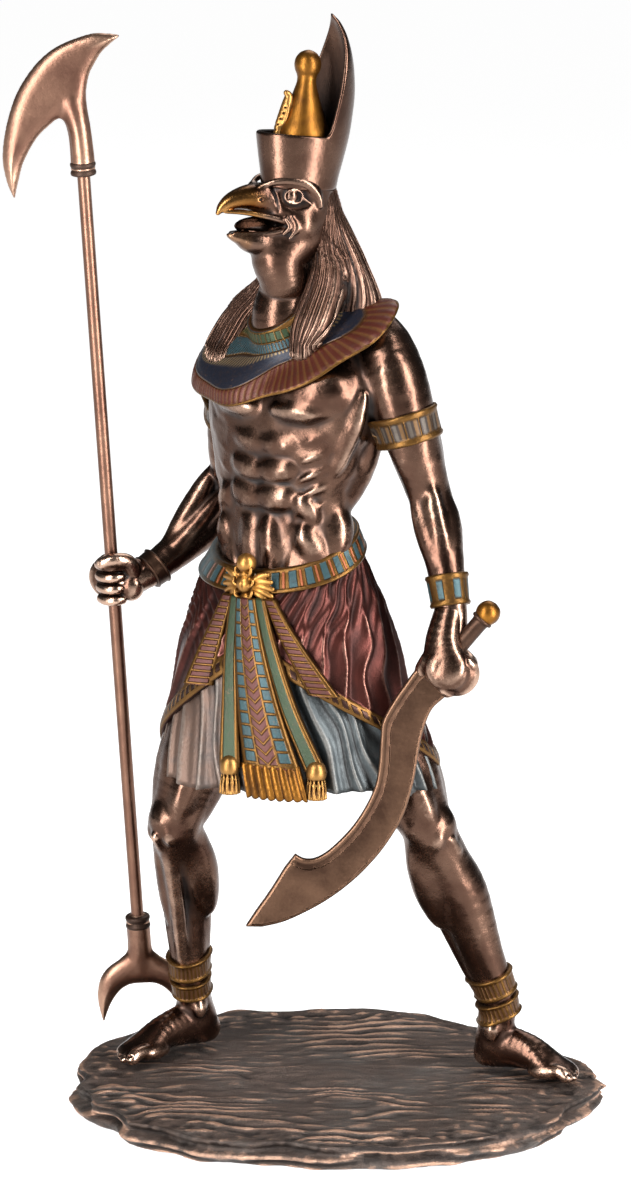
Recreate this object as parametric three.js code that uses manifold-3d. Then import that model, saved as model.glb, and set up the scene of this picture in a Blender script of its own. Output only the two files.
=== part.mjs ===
// A bronzed resin figure of a falcon-headed warrior in a pleated kilt, striding on an oval rock.
// It wears the double crown and grips a two-bladed staff in its right hand, a sickle sword in its left.
// Millimetres, +Z up. The origin is the middle of the rock's flat underside, and -Y is the front.
// The figure's pose, proportions and carving are drawn at DRAWN_HEIGHT and scaled to FIGURE_HEIGHT.
import * as THREE from "three";
import { mergeVertices } from "three/addons/utils/BufferGeometryUtils.js";
import Module from "manifold-3d";

const wasm = await Module();
wasm.setup();

// Driving dimensions
const FIGURE_HEIGHT = 292; // soles to the tip of the crown
const BASE_LENGTH = 144;
const BASE_DEPTH = 133;
const BASE_HEIGHT = 8;
const ROCK_DIP = 1.4; // how far the hollows of the rock's top lie below BASE_HEIGHT
const SEAT_GAP = 0.3; // between pieces that rest on or run through each other
const ROD_DIAMETER = 3.6;
const ROD_SHOWN = 217; // from the mouth of the fork's socket to that of the blade's
const SOCKET_DEPTH = 4; // how far the rod enters either socket
const SOCKET_WALL = 1.1;
const BLADE_THICKNESS = 5; // the staff's upper blade
const FORK_THICKNESS = 4.4;
const GRIP_DIAMETER = 4.6; // the sword's handle
const GRIP_LENGTH = 24;
const POMMEL_DIAMETER = 6.6;
const SWORD_THICKNESS = 3;

const DRAWN_HEIGHT = 292;
const SCALE = FIGURE_HEIGHT / DRAWN_HEIGHT;
const BELOW = 40; // the depth of the block that trims the soles flat
const SLIVER = 0.5; // facets thinner than this are merged into their neighbours

// The figure's own coordinates start between the feet, at the soles.
const vec = (x, y, z) => new THREE.Vector3(x, y, z);
const at = ([x, y, z]) => vec(x, y, z).multiplyScalar(SCALE);
const radians = THREE.MathUtils.degToRad;
const UP = vec(0, 0, 1);

// Directions of something that faces `turn` degrees clockwise from -Y, and looks `tilt` degrees upwards.
function facing(turn, tilt = 0) {
  const [sine, cosine] = [Math.sin(radians(turn)), Math.cos(radians(turn))];
  const left = vec(cosine, -sine, 0);
  const front = vec(-sine, -cosine, 0).multiplyScalar(Math.cos(radians(tilt)));
  front.addScaledVector(UP, Math.sin(radians(tilt)));
  return { front, left, up: vec(0, 0, 0).crossVectors(left, front).negate() };
}
const HIPS = facing(35);
const CHEST = facing(40);
const FACE = facing(62, 8);
const CROWN = facing(62, 5);

// The point `ahead`, `left` and `up` of a place, in the directions of a facing.
function beside([x, y, z], { front, left, up }, ahead, leftward, upward = 0) {
  return vec(x, y, z)
    .addScaledVector(front, ahead)
    .addScaledVector(left, leftward)
    .addScaledVector(up, upward)
    .toArray();
}
const SPINE = new THREE.CatmullRomCurve3(
  [
    [-13.5, 5.5, 138],
    [-15.3, 5, 156],
    [-13.5, 3, 176],
    [-11, 2.5, 192],
    [-8, 3.5, 204],
  ].map((p) => vec(...p)),
);
const SPINE_FOOT = SPINE.points[0].z;
const SPINE_REACH = SPINE.points.at(-1).z - SPINE_FOOT;

// A point of the trunk at height z. Beyond the spine's ends its axis stands upright.
function onTrunk(ahead, leftward, z) {
  const axis = SPINE.getPoint(THREE.MathUtils.clamp((z - SPINE_FOOT) / SPINE_REACH, 0, 1));
  return beside([axis.x, axis.y, z], CHEST, ahead, leftward);
}
const HEAD = [-11.3, 0, 240.5];
const onHead = (ahead, leftward, upward) => beside(HEAD, FACE, ahead, leftward, upward);
const CROWN_FOOT = [-10.6, -0.5, 246];

// Solids

// A geometry with only positions, its seams and poles merged while it is still in its simplest place.
function sealed(geometry) {
  const bare = geometry.clone();
  bare.deleteAttribute("normal");
  bare.deleteAttribute("uv");
  return mergeVertices(bare, 1e-4);
}

function solid(geometry) {
  const { position } = geometry.attributes;
  const vertProperties = new Float32Array(position.array);
  const triVerts = new Uint32Array(geometry.index.array);
  return new wasm.Manifold(new wasm.Mesh({ numProp: 3, vertProperties, triVerts }));
}

const join = (pieces) =>
  wasm.Manifold.union(pieces.flat(Infinity).map((piece) => (piece.isBufferGeometry ? solid(piece) : piece)));

// The casting is solid, so of its skins only the outermost stays.
const filled = (made) => made.decompose().sort((a, b) => b.volume() - a.volume())[0];

function geometryOf(made) {
  const mesh = made.getMesh();
  return new THREE.BufferGeometry()
    .setAttribute("position", new THREE.BufferAttribute(mesh.vertProperties, 3))
    .setIndex(new THREE.BufferAttribute(mesh.triVerts, 1));
}

// Moves every vertex p of a closed shape to place(p).
function warp(shape, place) {
  const geometry = sealed(shape);
  const position = geometry.attributes.position;
  const p = vec(0, 0, 0);
  for (let i = 0; i < position.count; i++) {
    position.setXYZ(i, ...place(p.fromBufferAttribute(position, i).clone()).toArray());
  }
  return geometry;
}

const squareTo = (direction, tangent) =>
  direction.clone().addScaledVector(tangent, -direction.dot(tangent)).normalize();

// Sweeps a shape whose own axis is Y, from -0.5 to 0.5, through stations [x, y, z, half width, half depth].
// The width runs along `across`, which may be a function of the share of the way and the direction there.
// The sections of a `level` sweep stay horizontal.
function sweep(shape, stations, across, swell = () => 1, level = false) {
  const spine = new THREE.CatmullRomCurve3(stations.map(at), false, "catmullrom", 0.4);
  const sizes = new THREE.CatmullRomCurve3(
    stations.map(([, , , wide, deep]) => at([wide, deep, 0])),
    false,
    "catmullrom",
    0.4,
  );
  return warp(shape, (p) => {
    const t = THREE.MathUtils.clamp(p.y + 0.5, 0, 1);
    const ahead = spine.getTangent(t);
    const tangent = level ? vec(0, 0, Math.sign(ahead.z)) : ahead;
    const side = squareTo(typeof across === "function" ? across(t, tangent) : across, tangent);
    const through = vec(0, 0, 0).crossVectors(side, tangent);
    const size = sizes.getPoint(t).multiplyScalar(swell(Math.atan2(p.z, p.x), t));
    return spine.getPoint(t).addScaledVector(side, p.x * size.x).addScaledVector(through, p.z * size.y);
  });
}

// A round section through stations. Sections and eggs start a little off their axes, so that no two edges
// of crossing pieces run along one another.
const LIMB_START = 0.13;
const EGG_START = 0.31;
function limb(stations, across, sides = 10, perSpan = 1, swell, level) {
  const rows = perSpan * (stations.length - 1);
  const shape = new THREE.CylinderGeometry(1, 1, 1, sides, rows, false, LIMB_START);
  return sweep(shape, stations, across, swell, level);
}

// A flat section through stations.
const ribbon = (stations, across, columns = 2, perSpan = 1) =>
  sweep(new THREE.BoxGeometry(2, 1, 2, columns, perSpan * (stations.length - 1), 1), stations, across);

// A round strand through points [x, y, z], of one radius or of one for each point.
const strand = (points, radius, sides = 6, perSpan = 1) =>
  limb(
    points.map((p, i) => {
      const r = Array.isArray(radius) ? radius[i] : radius;
      return [...p, r, r];
    }),
    vec(0.62, -0.71, 0.33),
    sides,
    perSpan,
  );

// An egg shape from a to b, `wide` along `across` and `deep` square to it.
function belly(a, b, wide, deep, across = CHEST.left, round = 6, along = 3) {
  const [start, end] = [at(a), at(b)];
  const half = end.clone().sub(start).multiplyScalar(0.5);
  const middle = start.clone().add(half);
  const side = squareTo(across, half.clone().normalize());
  const through = vec(0, 0, 0).crossVectors(side, half.clone().normalize());
  return warp(new THREE.SphereGeometry(1, round, along, EGG_START), (p) =>
    middle
      .clone()
      .addScaledVector(half, p.y)
      .addScaledVector(side, p.x * wide * SCALE)
      .addScaledVector(through, p.z * deep * SCALE),
  );
}

// Limbs

const LEGS = {
  right: {
    hip: [-24, 11, 134],
    knee: [-44.6, 4, 70],
    calf: [-42.5, 17, 50],
    ankle: [-41.2, 20.5, 19],
    heel: [-37, 26.5, 0],
    toes: [-60.5, 5.5, 0],
    outside: -1,
  },
  left: {
    hip: [-3, -1, 134],
    knee: [24.5, -8, 72],
    calf: [34, -3, 52],
    ankle: [45, 0, 19],
    heel: [42, 3.5, 0],
    toes: [66, -10.5, 0],
    outside: 1,
  },
};
const THIGH = [14.5, 13.5, 12.5, 10.2];
const KNEE = 8.4;
const SHIN = [7.8, 8.4, 6.6, 4.9];

const mix = (a, b, t) => a.map((value, i) => value + (b[i] - value) * t);

function leg({ hip, knee, calf, ankle, heel, toes, outside }) {
  const aim = facing(THREE.MathUtils.radToDeg(Math.atan2(heel[0] - toes[0], heel[1] - toes[1])));
  const shin = (t) => beside(mix(knee, ankle, t), aim, -2.2 * Math.sin(Math.PI * t), 0);
  return [
    limb(
      [
        [...hip, THIGH[0], THIGH[0]],
        [...mix(hip, knee, 0.35), THIGH[1], THIGH[1]],
        [...mix(hip, knee, 0.7), THIGH[2] - 2, THIGH[2] - 1.5],
        [...knee, KNEE, KNEE],
        [...mix(knee, calf, 0.5), SHIN[0], SHIN[0]],
        [...calf, SHIN[1], SHIN[1]],
        [...mix(calf, ankle, 0.55), SHIN[2] - 0.6, SHIN[2]],
        [...ankle, SHIN[3] - 0.4, SHIN[3]],
        [...mix(ankle, heel, 0.7), SHIN[3] - 0.6, SHIN[3] + 0.4],
      ],
      aim.left,
      10,
    ),
    // The thigh's long muscle, then the kneecap
    belly(beside(mix(hip, knee, 0.4), aim, 5, 0), beside(mix(hip, knee, 0.92), aim, 5, 0), 6.5, 5, aim.left),
    belly(beside(knee, aim, 5.6, 0, 4.6), beside(knee, aim, 6, 0, -4.2), 4.2, 3.6, aim.left),
    // The calf's two heads, and the shin's edge
    belly(beside(shin(0.08), aim, -3, 2.8), beside(shin(0.56), aim, -3, 2.6), 4.6, 5.2, aim.left),
    belly(beside(shin(0.1), aim, -3, -2.8), beside(shin(0.5), aim, -3, -2.6), 4.6, 5.2, aim.left),
    belly(beside(shin(0.14), aim, 4, -outside), beside(shin(0.8), aim, 4.2, -outside), 3, 4, aim.left),
    foot(heel, toes, aim, outside),
    anklet(mix(ankle, knee, 0.06), mix(ankle, knee, 0.2)),
  ];
}

function foot(heel, toes, aim, outside) {
  const length = Math.hypot(heel[0] - toes[0], heel[1] - toes[1]);
  const along = (share, leftward, upward) => beside(heel, aim, share * length, leftward, upward);
  const toeRoots = [-4, -1.1, 1.2, 3.3, 5.2].map((leftward) => leftward * outside);
  const toeReach = [1, 1.01, 0.97, 0.92, 0.86];
  const toeSize = [1.9, 1.2, 1.15, 1.1, 1.05];
  return [
    limb(
      [
        [...along(-0.02, 0, 4.4), 3.2, 4],
        [...along(0.25, 0, 5.6), 4.8, 5.5],
        [...along(0.6, 0, 4), 5.2, 4.2],
        [...along(0.82, 0, 2.6), 5.6, 2.8],
        [...along(0.9, 0, 2), 5, 2],
      ],
      aim.left,
      8,
    ),
    ...toeRoots.map((leftward, i) =>
      belly(
        along(0.72, leftward * 0.85, toeSize[i]),
        along(toeReach[i], leftward, toeSize[i] - 0.3),
        toeSize[i],
        toeSize[i],
        aim.left,
        4,
      ),
    ),
  ];
}

// Two rings round the ankle.
function anklet(low, high) {
  const along = [-0.15, 0.48, 1.1].map((share) => mix(low, high, share));
  return strand(along, [6.4, 6, 6.6], 8);
}

const ARMS = {
  right: {
    cap: [-20, 12.5, 211], // the top of the shoulder's muscle
    shoulder: [-24, 16, 202],
    upper: [
      [-28.8, 20.2, 194],
      [-28.5, 27, 181],
    ],
    elbow: [-29.5, 33, 157],
    fore: [
      [-35, 31, 150],
      [-43, 26.5, 143.2],
    ],
    wrist: [-53, 21, 136.4],
  },
  left: {
    cap: [9, -6, 214.5],
    shoulder: [12.5, -9.5, 204],
    upper: [
      [15.6, -12.6, 195.5],
      [20, -13.5, 180],
    ],
    elbow: [24.6, -12.5, 165],
    fore: [
      [27, -14.5, 157],
      [28.6, -18, 148],
    ],
    wrist: [30.2, -21.5, 136],
  },
};
const UPPER_ARM = [7.8, 8.9, 8.2, 7];
const FOREARM = [7, 5.9, 4.4];

function arm({ cap, shoulder, upper, elbow, fore, wrist }, front, hand) {
  const inner = vec(0, 0, 0).crossVectors(front, UP);
  const push = ([x, y, z], ahead, aside) =>
    vec(x, y, z).addScaledVector(front, ahead).addScaledVector(inner, aside).toArray();
  const [high, low] = upper;
  return [
    limb(
      [
        [...shoulder, UPPER_ARM[0], UPPER_ARM[0]],
        [...upper[0], UPPER_ARM[1], UPPER_ARM[1]],
        [...upper[1], UPPER_ARM[2], UPPER_ARM[2]],
        [...elbow, UPPER_ARM[3] - 0.8, UPPER_ARM[3]],
        [...fore[0], FOREARM[0], FOREARM[0]],
        [...fore[1], FOREARM[1], FOREARM[1] - 0.3],
        [...wrist, FOREARM[2] + 0.4, FOREARM[2] - 0.3],
        [...hand, FOREARM[2], FOREARM[2] - 0.5],
      ],
      inner,
      9,
    ),
    // The shoulder's muscle and its two heads
    belly(cap, mix(high, low, 0.85), 8.6, 8.6, inner, 8, 5),
    ...[-3.4, 3.4].map((ahead) =>
      belly(push(mix(shoulder, high, -0.1), ahead, 0), push(mix(high, low, 0.62), ahead, 0), 6.2, 6.4),
    ),
    // Biceps and triceps
    belly(push(mix(high, low, 0.3), 4, 0), push(mix(low, elbow, 0.85), 3, 0), 5, 4.6, inner),
    belly(push(mix(high, low, 0.2), -4, 0), push(mix(low, elbow, 0.75), -3.4, 0), 5, 4.8, inner),
    // The forearm's long muscles
    belly(push(mix(low, elbow, 0.6), 2.6, 2), push(mix(fore[1], wrist, 0.3), 2, 0.6), 3.6, 4, inner),
    belly(push(mix(low, elbow, 0.8), -2, -2), push(mix(fore[1], wrist, 0.4), -1.2, -0.8), 3.6, 4, inner),
  ];
}

// A cuff with raised rims between two points of an arm.
function cuff(low, high, radius) {
  const along = [0, 0.25, 0.75, 1].map((share) => mix(low, high, share));
  return strand(along, [radius + 0.6, radius, radius, radius + 0.6], 9);
}

// A fist closed round a bar. `axis` runs along the bar to the thumb's side, `back` points from the bar to the
// back of the hand, and the knuckles lie square to both, for a left (1) or a right (-1) hand.
const FINGER = 1.75;
function fist({ centre, axis, back, wrist, bar, hand }) {
  const knuckles = vec(0, 0, 0).crossVectors(back, axis).multiplyScalar(hand);
  const spot = (along, backward, outward) =>
    vec(...centre)
      .addScaledVector(axis, along)
      .addScaledVector(back, backward)
      .addScaledVector(knuckles, outward)
      .toArray();
  const reach = (bar / 2 + SEAT_GAP) / SCALE + FINGER;
  const fingers = [1.5, 0.5, -0.5, -1.5].map((row) => {
    const round = (degrees) => {
      const [s, c] = [Math.sin(radians(degrees)), Math.cos(radians(degrees))];
      return spot(row * FINGER * 2.06, c * reach, s * reach);
    };
    return strand([30, 100, 170, 225].map(round), FINGER, 5);
  });
  return [
    fingers,
    // The back of the hand
    limb(
      [
        [...wrist, 4.2, 3.8],
        [...mix(wrist, spot(0, 3, -1), 0.6), 5.4, 3.6],
        [...spot(0, 3.6, 0), 7.2, 3],
        [...spot(0, 3.4, 4.4), 7, 2.2],
      ],
      axis,
      8,
    ),
    // The thumb lies across the fingers on the palm's side
    strand(
      [spot(2.4, 0.5, -4.8), spot(5.4, -1.4, -3.2), spot(6.6, -3.6, -0.4), spot(5.6, -3.8, 2.6)],
      [2.4, 2.3, 2, 1.4],
      5,
    ),
  ];
}

// Trunk

const TRUNK = [
  [-13, 5.5, 126, 23, 15],
  [-13.5, 5.5, 140, 22.5, 14.5],
  [-14.4, 5, 152, 21, 13],
  [-14.4, 5, 161, 21.4, 12.8],
  [-13.6, 3.8, 171, 24, 13.8],
  [-12.6, 2.6, 182, 27, 14.8],
  [-11, 2.5, 191, 28.6, 14.4],
  [-9, 3, 198, 26, 12.6],
  [-8.2, 3.6, 205, 17, 10.4],
  [-9, 3, 213, 10, 9.6],
  [-10, 1.5, 226, 8.8, 9],
  [-11, 0.5, 238, 8.6, 9],
];
const SPINE_GROOVE = 0.07; // its depth as a share of the trunk's
const trunk = (extra = 0) =>
  limb(
    TRUNK.map(([x, y, z, wide, deep]) => [x, y, z, wide + extra, deep + extra]),
    CHEST.left,
    16,
    1,
    (angle) => 1 - SPINE_GROOVE * Math.max(0, -Math.sin(angle)) ** 12,
  );

// What the body has twice, made for its left (1) and its right (-1).
const pair = (make) => [make(1), make(-1)];

// Chest plates, split by the breastbone, and the slopes from the neck to the shoulders.
const plates = (extra = 0) =>
  pair((s) => belly(onTrunk(8.6, s * 0.5, 190), onTrunk(4.6, s * 25, 193), 9.6 + extra, 8 + extra, UP, 8, 5));
const slopes = (extra = 0) =>
  pair((s) =>
    belly(onTrunk(-2, s * 2, 210), onTrunk(-1, s * 23, 204), 6.6 + extra, 6.4 + extra, CHEST.front, 6, 5),
  );

function muscles() {
  return [
    plates(),
    slopes(),
    // Three rows of the belly's muscles and the long ones below the navel
    [175, 167.6, 160.6].map((z, row) =>
      pair((s) =>
        belly(onTrunk(11.8 - row * 0.4, s * 1, z), onTrunk(10.8 - row * 0.4, s * 8.4, z + 0.8), 3.9, 4.2, UP),
      ),
    ),
    pair((s) => belly(onTrunk(9.8, s * 3.2, 159), onTrunk(9.4, s * 2.6, 143), 4.2, 4.4)),
    // Ribs and flanks
    pair((s) => belly(onTrunk(5.5, s * 13, 163), onTrunk(3, s * 16.5, 146), 6, 6.6)),
  ];
}

// The broad collar: the trunk and the shoulders a little swollen, above a plane that falls to the front.
const COLLAR_RISE = 1.4;
const COLLAR_FRONT = [16, 0, 191.8]; // ahead, left, height
const COLLAR_SLOPE = 35;
const COLLAR_TILT = 12; // upwards to the left
function collar() {
  const swollen = [trunk(COLLAR_RISE), plates(COLLAR_RISE), slopes(COLLAR_RISE + 0.2)];
  const [ahead, leftward, height] = COLLAR_FRONT;
  const block = sealed(new THREE.BoxGeometry(90, 90, 24));
  block.translate(0, 45, 12);
  block.rotateY(radians(-COLLAR_TILT));
  block.rotateX(radians(COLLAR_SLOPE));
  block.rotateZ(radians(-40));
  block.translate(...beside([-11, 2.5, height], CHEST, ahead + 3, leftward, -2.5));
  block.scale(SCALE, SCALE, SCALE);
  return join(swollen).intersect(solid(block));
}

// Head and hair

function head() {
  return [
    belly(onHead(-10.5, 0, -0.5), onHead(11.5, 0, 0.5), 8.9, 9.4, FACE.left, 9, 6),
    belly(onHead(2, 0, -8.6), onHead(16.6, 0, -9.4), 5.4, 4.2, FACE.left, 7, 5),
    limb(
      [
        [...onHead(-0.5, 0, -6), 8.4, 9.2],
        [...onHead(3.2, 0, -12.5), 7.6, 7.8],
        [...onHead(1.4, 0, -18.5), 6.8, 6.4],
        [-13.2, 1.2, 218, 6.8, 6.8],
        [-12.2, 2.6, 210, 7.4, 7.4],
      ],
      FACE.left,
    ),
    // The crown of the head, as broad as the cup that stands on it
    limb(
      [
        [...onHead(-0.3, 0, -2), 8.6, 9.8],
        [...onCrown(2.4, 0, 0), 8, 10],
      ],
      FACE.left,
    ),
    // Brows and eyes
    pair((s) =>
      strand(
        [onHead(12, s * 3, 5.2), onHead(7, s * 6.4, 7.8), onHead(1.4, s * 8.2, 7), onHead(-2, s * 8.8, 2.6)],
        [0.9, 1.5, 1.4, 0.8],
        5,
      ),
    ),
    pair((s) => belly(onHead(3.6, s * 7.4, 3.8), onHead(7.4, s * 6.8, 4.2), 1.9, 1.6, UP)),
    beak(),
  ];
}

function beak() {
  const upper = [
    [...onHead(5, 0, 1), 6.2, 5.6],
    [...onHead(11, 0, 1.6), 5, 4.6],
    [...onHead(16, 0, 1.2), 3.7, 3.2],
    [...onHead(20.4, 0, -0.2), 2.3, 2],
    [...onHead(23, 0, -2.4), 0.9, 0.8],
  ];
  const lower = [
    [...onHead(4, 0, -7), 6, 3],
    [...onHead(10, 0, -8), 4.8, 2.2],
    [...onHead(15, 0, -8.2), 3, 1.4],
    [...onHead(18.6, 0, -7.8), 0.9, 0.5],
  ];
  return [limb(upper, FACE.left, 8), limb(lower, FACE.left, 6)];
}

// Combed locks fall from the crown to the back and, in two lappets, to the chest.
const LOCKS = 9;
const LOCK_DEPTH = 0.05;
function hair() {
  const combed = (angle) => 1 + LOCK_DEPTH * Math.cos(angle * LOCKS) * 0.5;
  const lappetLocks = (angle) => 1 + LOCK_DEPTH * Math.cos(angle * 5);
  const back = [
    [-8.4, 2.5, 249, 8.6, 7.6],
    [-7.8, 3.5, 240, 10.4, 8.6],
    [-6.6, 5, 230, 13.4, 9],
    [-4.6, 6.6, 220, 18.4, 9],
    [-2.6, 8.6, 210, 21, 8],
    [-1.8, 11, 201, 18, 4.6],
  ];
  const left = [
    [...onHead(-7.6, 2.6, 0), 3, 4.2],
    [...onHead(-9.8, 4.8, -8), 3.6, 5],
    [...onTrunk(2.4, 7.6, 220), 6.6, 5.8],
    [...onTrunk(9.4, 7.4, 211), 7.8, 5],
    [...onTrunk(12.8, 6.4, 202), 6.8, 3.6],
  ];
  const right = [
    [...onHead(-4, -4, -5), 3.6, 5],
    [...onTrunk(2, -10.4, 219), 4.8, 5.6],
    [...onTrunk(5, -17.2, 210.5), 6.4, 5.2],
    [...onTrunk(8.4, -20.6, 202), 6.8, 4.4],
    [...onTrunk(10, -21, 197), 6.4, 3.2],
  ];
  const strip = [
    [2.4, 8.4, 225.6, 2.2, 1.4],
    [6.8, 6.4, 219, 2.4, 1.4],
    [9.8, 4, 215.2, 2.4, 1.4],
    [12.4, 1.5, 212, 2, 1.4],
  ];
  return [
    limb(back, CHEST.left, LOCKS * 2, 1, combed),
    ...[left, right].map((lappet) => limb(lappet, CHEST.left, 10, 1, lappetLocks, true)),
    ribbon(strip, CHEST.left, 1, 1),
  ];
}

// The crown: an oval cup with a tall scooped riser at its back, and a bottle-shaped crown within it.
const CUP_NARROW = 0.78; // its breadth as a share of its depth
function onCrown(height, radius, degrees) {
  const a = radians(degrees);
  return beside(CROWN_FOOT, CROWN, -radius * Math.cos(a), radius * CUP_NARROW * Math.sin(a), height);
}
const RISER = new THREE.CatmullRomCurve3(
  [
    [7.7, 11, 74],
    [16.3, 12.6, 72],
    [26, 13.3, 66],
    [36, 11.7, 52],
    [42, 9.4, 36],
    [46.6, 6.4, 2],
  ].map((station) => vec(...station)), // height, radius, half the angle it spans
);
const RISER_WALL = 1.5;
const RIM = 14.6;

function crown() {
  const turned = (profile, sides, narrow) =>
    limb(
      profile.map(([height, radius]) => [...onCrown(height, 0, 0), radius * narrow, radius]),
      CROWN.left,
      sides,
    );
  const cup = turned(
    [
      [0.6, 9.9],
      [4, 10.4],
      [9, 11.4],
      [RIM, 12.5],
    ],
    14,
    CUP_NARROW,
  );
  const hollow = turned(
    [
      [RIM - 2.4, 10.2],
      [RIM + 1, 10.9],
    ],
    14,
    CUP_NARROW,
  );
  const bottle = turned(
    [
      [RIM - 4, 7.4],
      [RIM + 1.4, 7.1],
      [RIM + 6.6, 5],
      [RIM + 12, 3.1],
      [RIM + 15, 2.6],
      [RIM + 18, 3.5],
      [RIM + 21, 3],
      [RIM + 22.6, 0.8],
    ],
    9,
    1,
  );
  const riser = warp(new THREE.BoxGeometry(1, 1, 1, 6, 6, 1), (p) => {
    const station = RISER.getPoint(p.y + 0.5);
    return at(onCrown(station.x, station.y + p.z * RISER_WALL, p.x * -2 * station.z));
  });
  const rearing = [
    [-3, 8],
    [3, 6.9],
    [7.6, 5.6],
    [10.6, 5.2],
  ]; // above the rim, radius
  const cobra = strand(
    rearing.map(([height, radius]) => onCrown(RIM + height, radius, 172)),
    [1.2, 1.7, 1.5, 0.9],
  );
  return [solid(cup).subtract(solid(hollow)), bottle, riser, cobra];
}

// Kilt

const KILT = new THREE.CatmullRomCurve3(
  [
    [-14.2, 5, 148],
    [-13.4, 4, 134],
    [-13, 3, 121],
    [-12.6, 2, 110],
    [-11.4, 1, 95],
    [-10.2, 0, 82],
  ].map((p) => vec(...p)),
);
const KILT_SIZE = new THREE.CatmullRomCurve3(
  [
    [23.4, 15.6, 35],
    [27.4, 19, 32],
    [31.4, 21.8, 27],
    [33.8, 23.6, 22],
    [38, 25.4, 18],
    [40.4, 26.2, 15],
  ].map((p) => vec(...p)), // half width, half depth, facing
);
const WAIST_Z = 148;
const HEM_Z = 82;

const kiltShare = (z) => THREE.MathUtils.clamp((WAIST_Z - z) / (WAIST_Z - HEM_Z), 0, 1);

function kiltAxis(z) {
  const axis = KILT.getPoint(kiltShare(z));
  return [axis.x, axis.y, z];
}

// A point of the kilt's surface at height z, `degrees` round from its front towards the figure's left.
function onKilt(z, degrees, outward = 0) {
  const size = KILT_SIZE.getPoint(kiltShare(z));
  const a = radians(degrees);
  const ahead = (size.y + outward) * Math.cos(a);
  return beside(kiltAxis(z), facing(size.z), ahead, (size.x + outward) * Math.sin(a));
}

// A skirt through rows [share of the way down, rise above that height, outward]. Its top and its bottom
// depend on the angle, and its `pleats` waves deepen to `depth` at the hem.
function skirt({ top, bottom, rows, pleats, depth }) {
  const shape = new THREE.CylinderGeometry(1, 1, 1, pleats * 2, rows.length - 1);
  return warp(shape, (p) => {
    const degrees = THREE.MathUtils.radToDeg(Math.atan2(p.x, p.z));
    const [down, rise, outward] = rows[Math.round((0.5 - p.y) * (rows.length - 1))];
    const z = THREE.MathUtils.lerp(top(degrees), bottom(degrees), down) + rise;
    const wave = depth * down * Math.cos(radians(degrees) * pleats);
    const onRim = Math.hypot(p.x, p.z) > 0.5;
    return at(onRim ? onKilt(z, degrees, outward + wave) : kiltAxis(z));
  });
}

const beltHeight = (degrees) => 146.5 - 6.5 * Math.cos(radians(degrees)) + 1.5 * Math.sin(radians(degrees));
const wrapHem = (degrees) => 122 - 33 * Math.min(1, Math.abs(degrees) / 95);
const BELT_WIDTH = 6;
const BORDER_WIDTH = 5;
const RAISED = 0.8; // how far the belt and the wrap's border stand out

function kilt() {
  const under = skirt({
    top: () => 138,
    bottom: () => HEM_Z + 3,
    rows: [
      [0, 0, -2],
      [1, 0, -1],
    ],
    pleats: 15,
    depth: 1.2,
  });
  const wrap = skirt({
    top: beltHeight,
    bottom: wrapHem,
    rows: [
      [0, BELT_WIDTH * 0.7, RAISED - 2.6],
      [0, BELT_WIDTH * -0.3, RAISED],
      [0, BELT_WIDTH * -0.3, 0],
      [1, BORDER_WIDTH, 0],
      [1, BORDER_WIDTH, RAISED],
      [1, 0, RAISED],
    ],
    pleats: 12,
    depth: 0.5,
  });
  return [under, wrap, ornament(), apron()];
}

// The belt's clasp: a sun above a winged scarab.
function ornament() {
  const middle = beltHeight(0);
  const sun = onKilt(middle + 4.6, 0, 0.8);
  const scarab = onKilt(middle - 1.4, 0, 2.4);
  const wing = (s) => [onKilt(middle - 1.6, 0, 2.2), onKilt(middle + 2.8, s * 19, 0.6)];
  return [
    belly(beside(sun, HIPS, 0, 0, 2.8), beside(sun, HIPS, 0, 0, -2.8), 2.8, 2.4, HIPS.left, 8, 5),
    belly(beside(scarab, HIPS, 0, 0, 4.4), beside(scarab, HIPS, 0, 0, -4.6), 2.9, 2.4, HIPS.left, 8, 5),
    [1, -1].map((s) => belly(...wing(s), 2.2, 1.3, UP)),
  ];
}

// The hangings before the kilt, each from the belt's middle down to its own end.
function hanging(from, to, [topWidth, endWidth], outward, low) {
  const top = beltHeight(0) - 3;
  const stations = [0, 0.5, 1].map((t) => {
    const z = THREE.MathUtils.lerp(top, low, t);
    const degrees = THREE.MathUtils.lerp(from, to, t);
    return [...onKilt(z, degrees, outward), THREE.MathUtils.lerp(topWidth, endWidth, t), 1];
  });
  return ribbon(stations, (t) => facing(THREE.MathUtils.lerp(33, 19, t)).left, 1);
}

const APRON_LOW = 93;
const FRINGE_LOW = 85;
function apron() {
  const fringe = [APRON_LOW + 1, FRINGE_LOW].map((z) => [...onKilt(z, 2, 1.6), 8.2, 1.3]);
  return [
    hanging(0, 2, [2.8, 8], 1.8, APRON_LOW),
    ribbon(fringe, facing(18).left, 6),
    [1, -1].map((s) => hanging(s * 8, 2 + s * 17.5, [1.6, 3.4], 1.1, 92)),
    [1, -1].map((s) => hanging(s * 14, s * 33, [1.6, 4.2], 0.6, 112)),
    [1, -1].map((s) => tassel(onKilt(92, 2 + s * 17.5, 0.8))),
  ];
}

const tassel = ([x, y, z]) => strand([[x, y, z + 1], [x, y, z - 3], [x, y, z - 7]], [1.2, 2.2, 2.6], 5);

// Staff

const STAFF_FOOT = [-56.2, 28, 34.7]; // the mouth of the fork's socket, from the soles
const STAFF_AXIS = vec(-12.3, -20, 215.6).normalize();
const STAFF_SIDE = squareTo(vec(1, 0, 0), STAFF_AXIS);

// A round bar along Z.
function bar(radius, low, high, sides = 8) {
  const shape = sealed(new THREE.CylinderGeometry(radius, radius, high - low, sides));
  return shape.rotateX(Math.PI / 2).translate(0, 0, (low + high) / 2);
}

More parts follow.
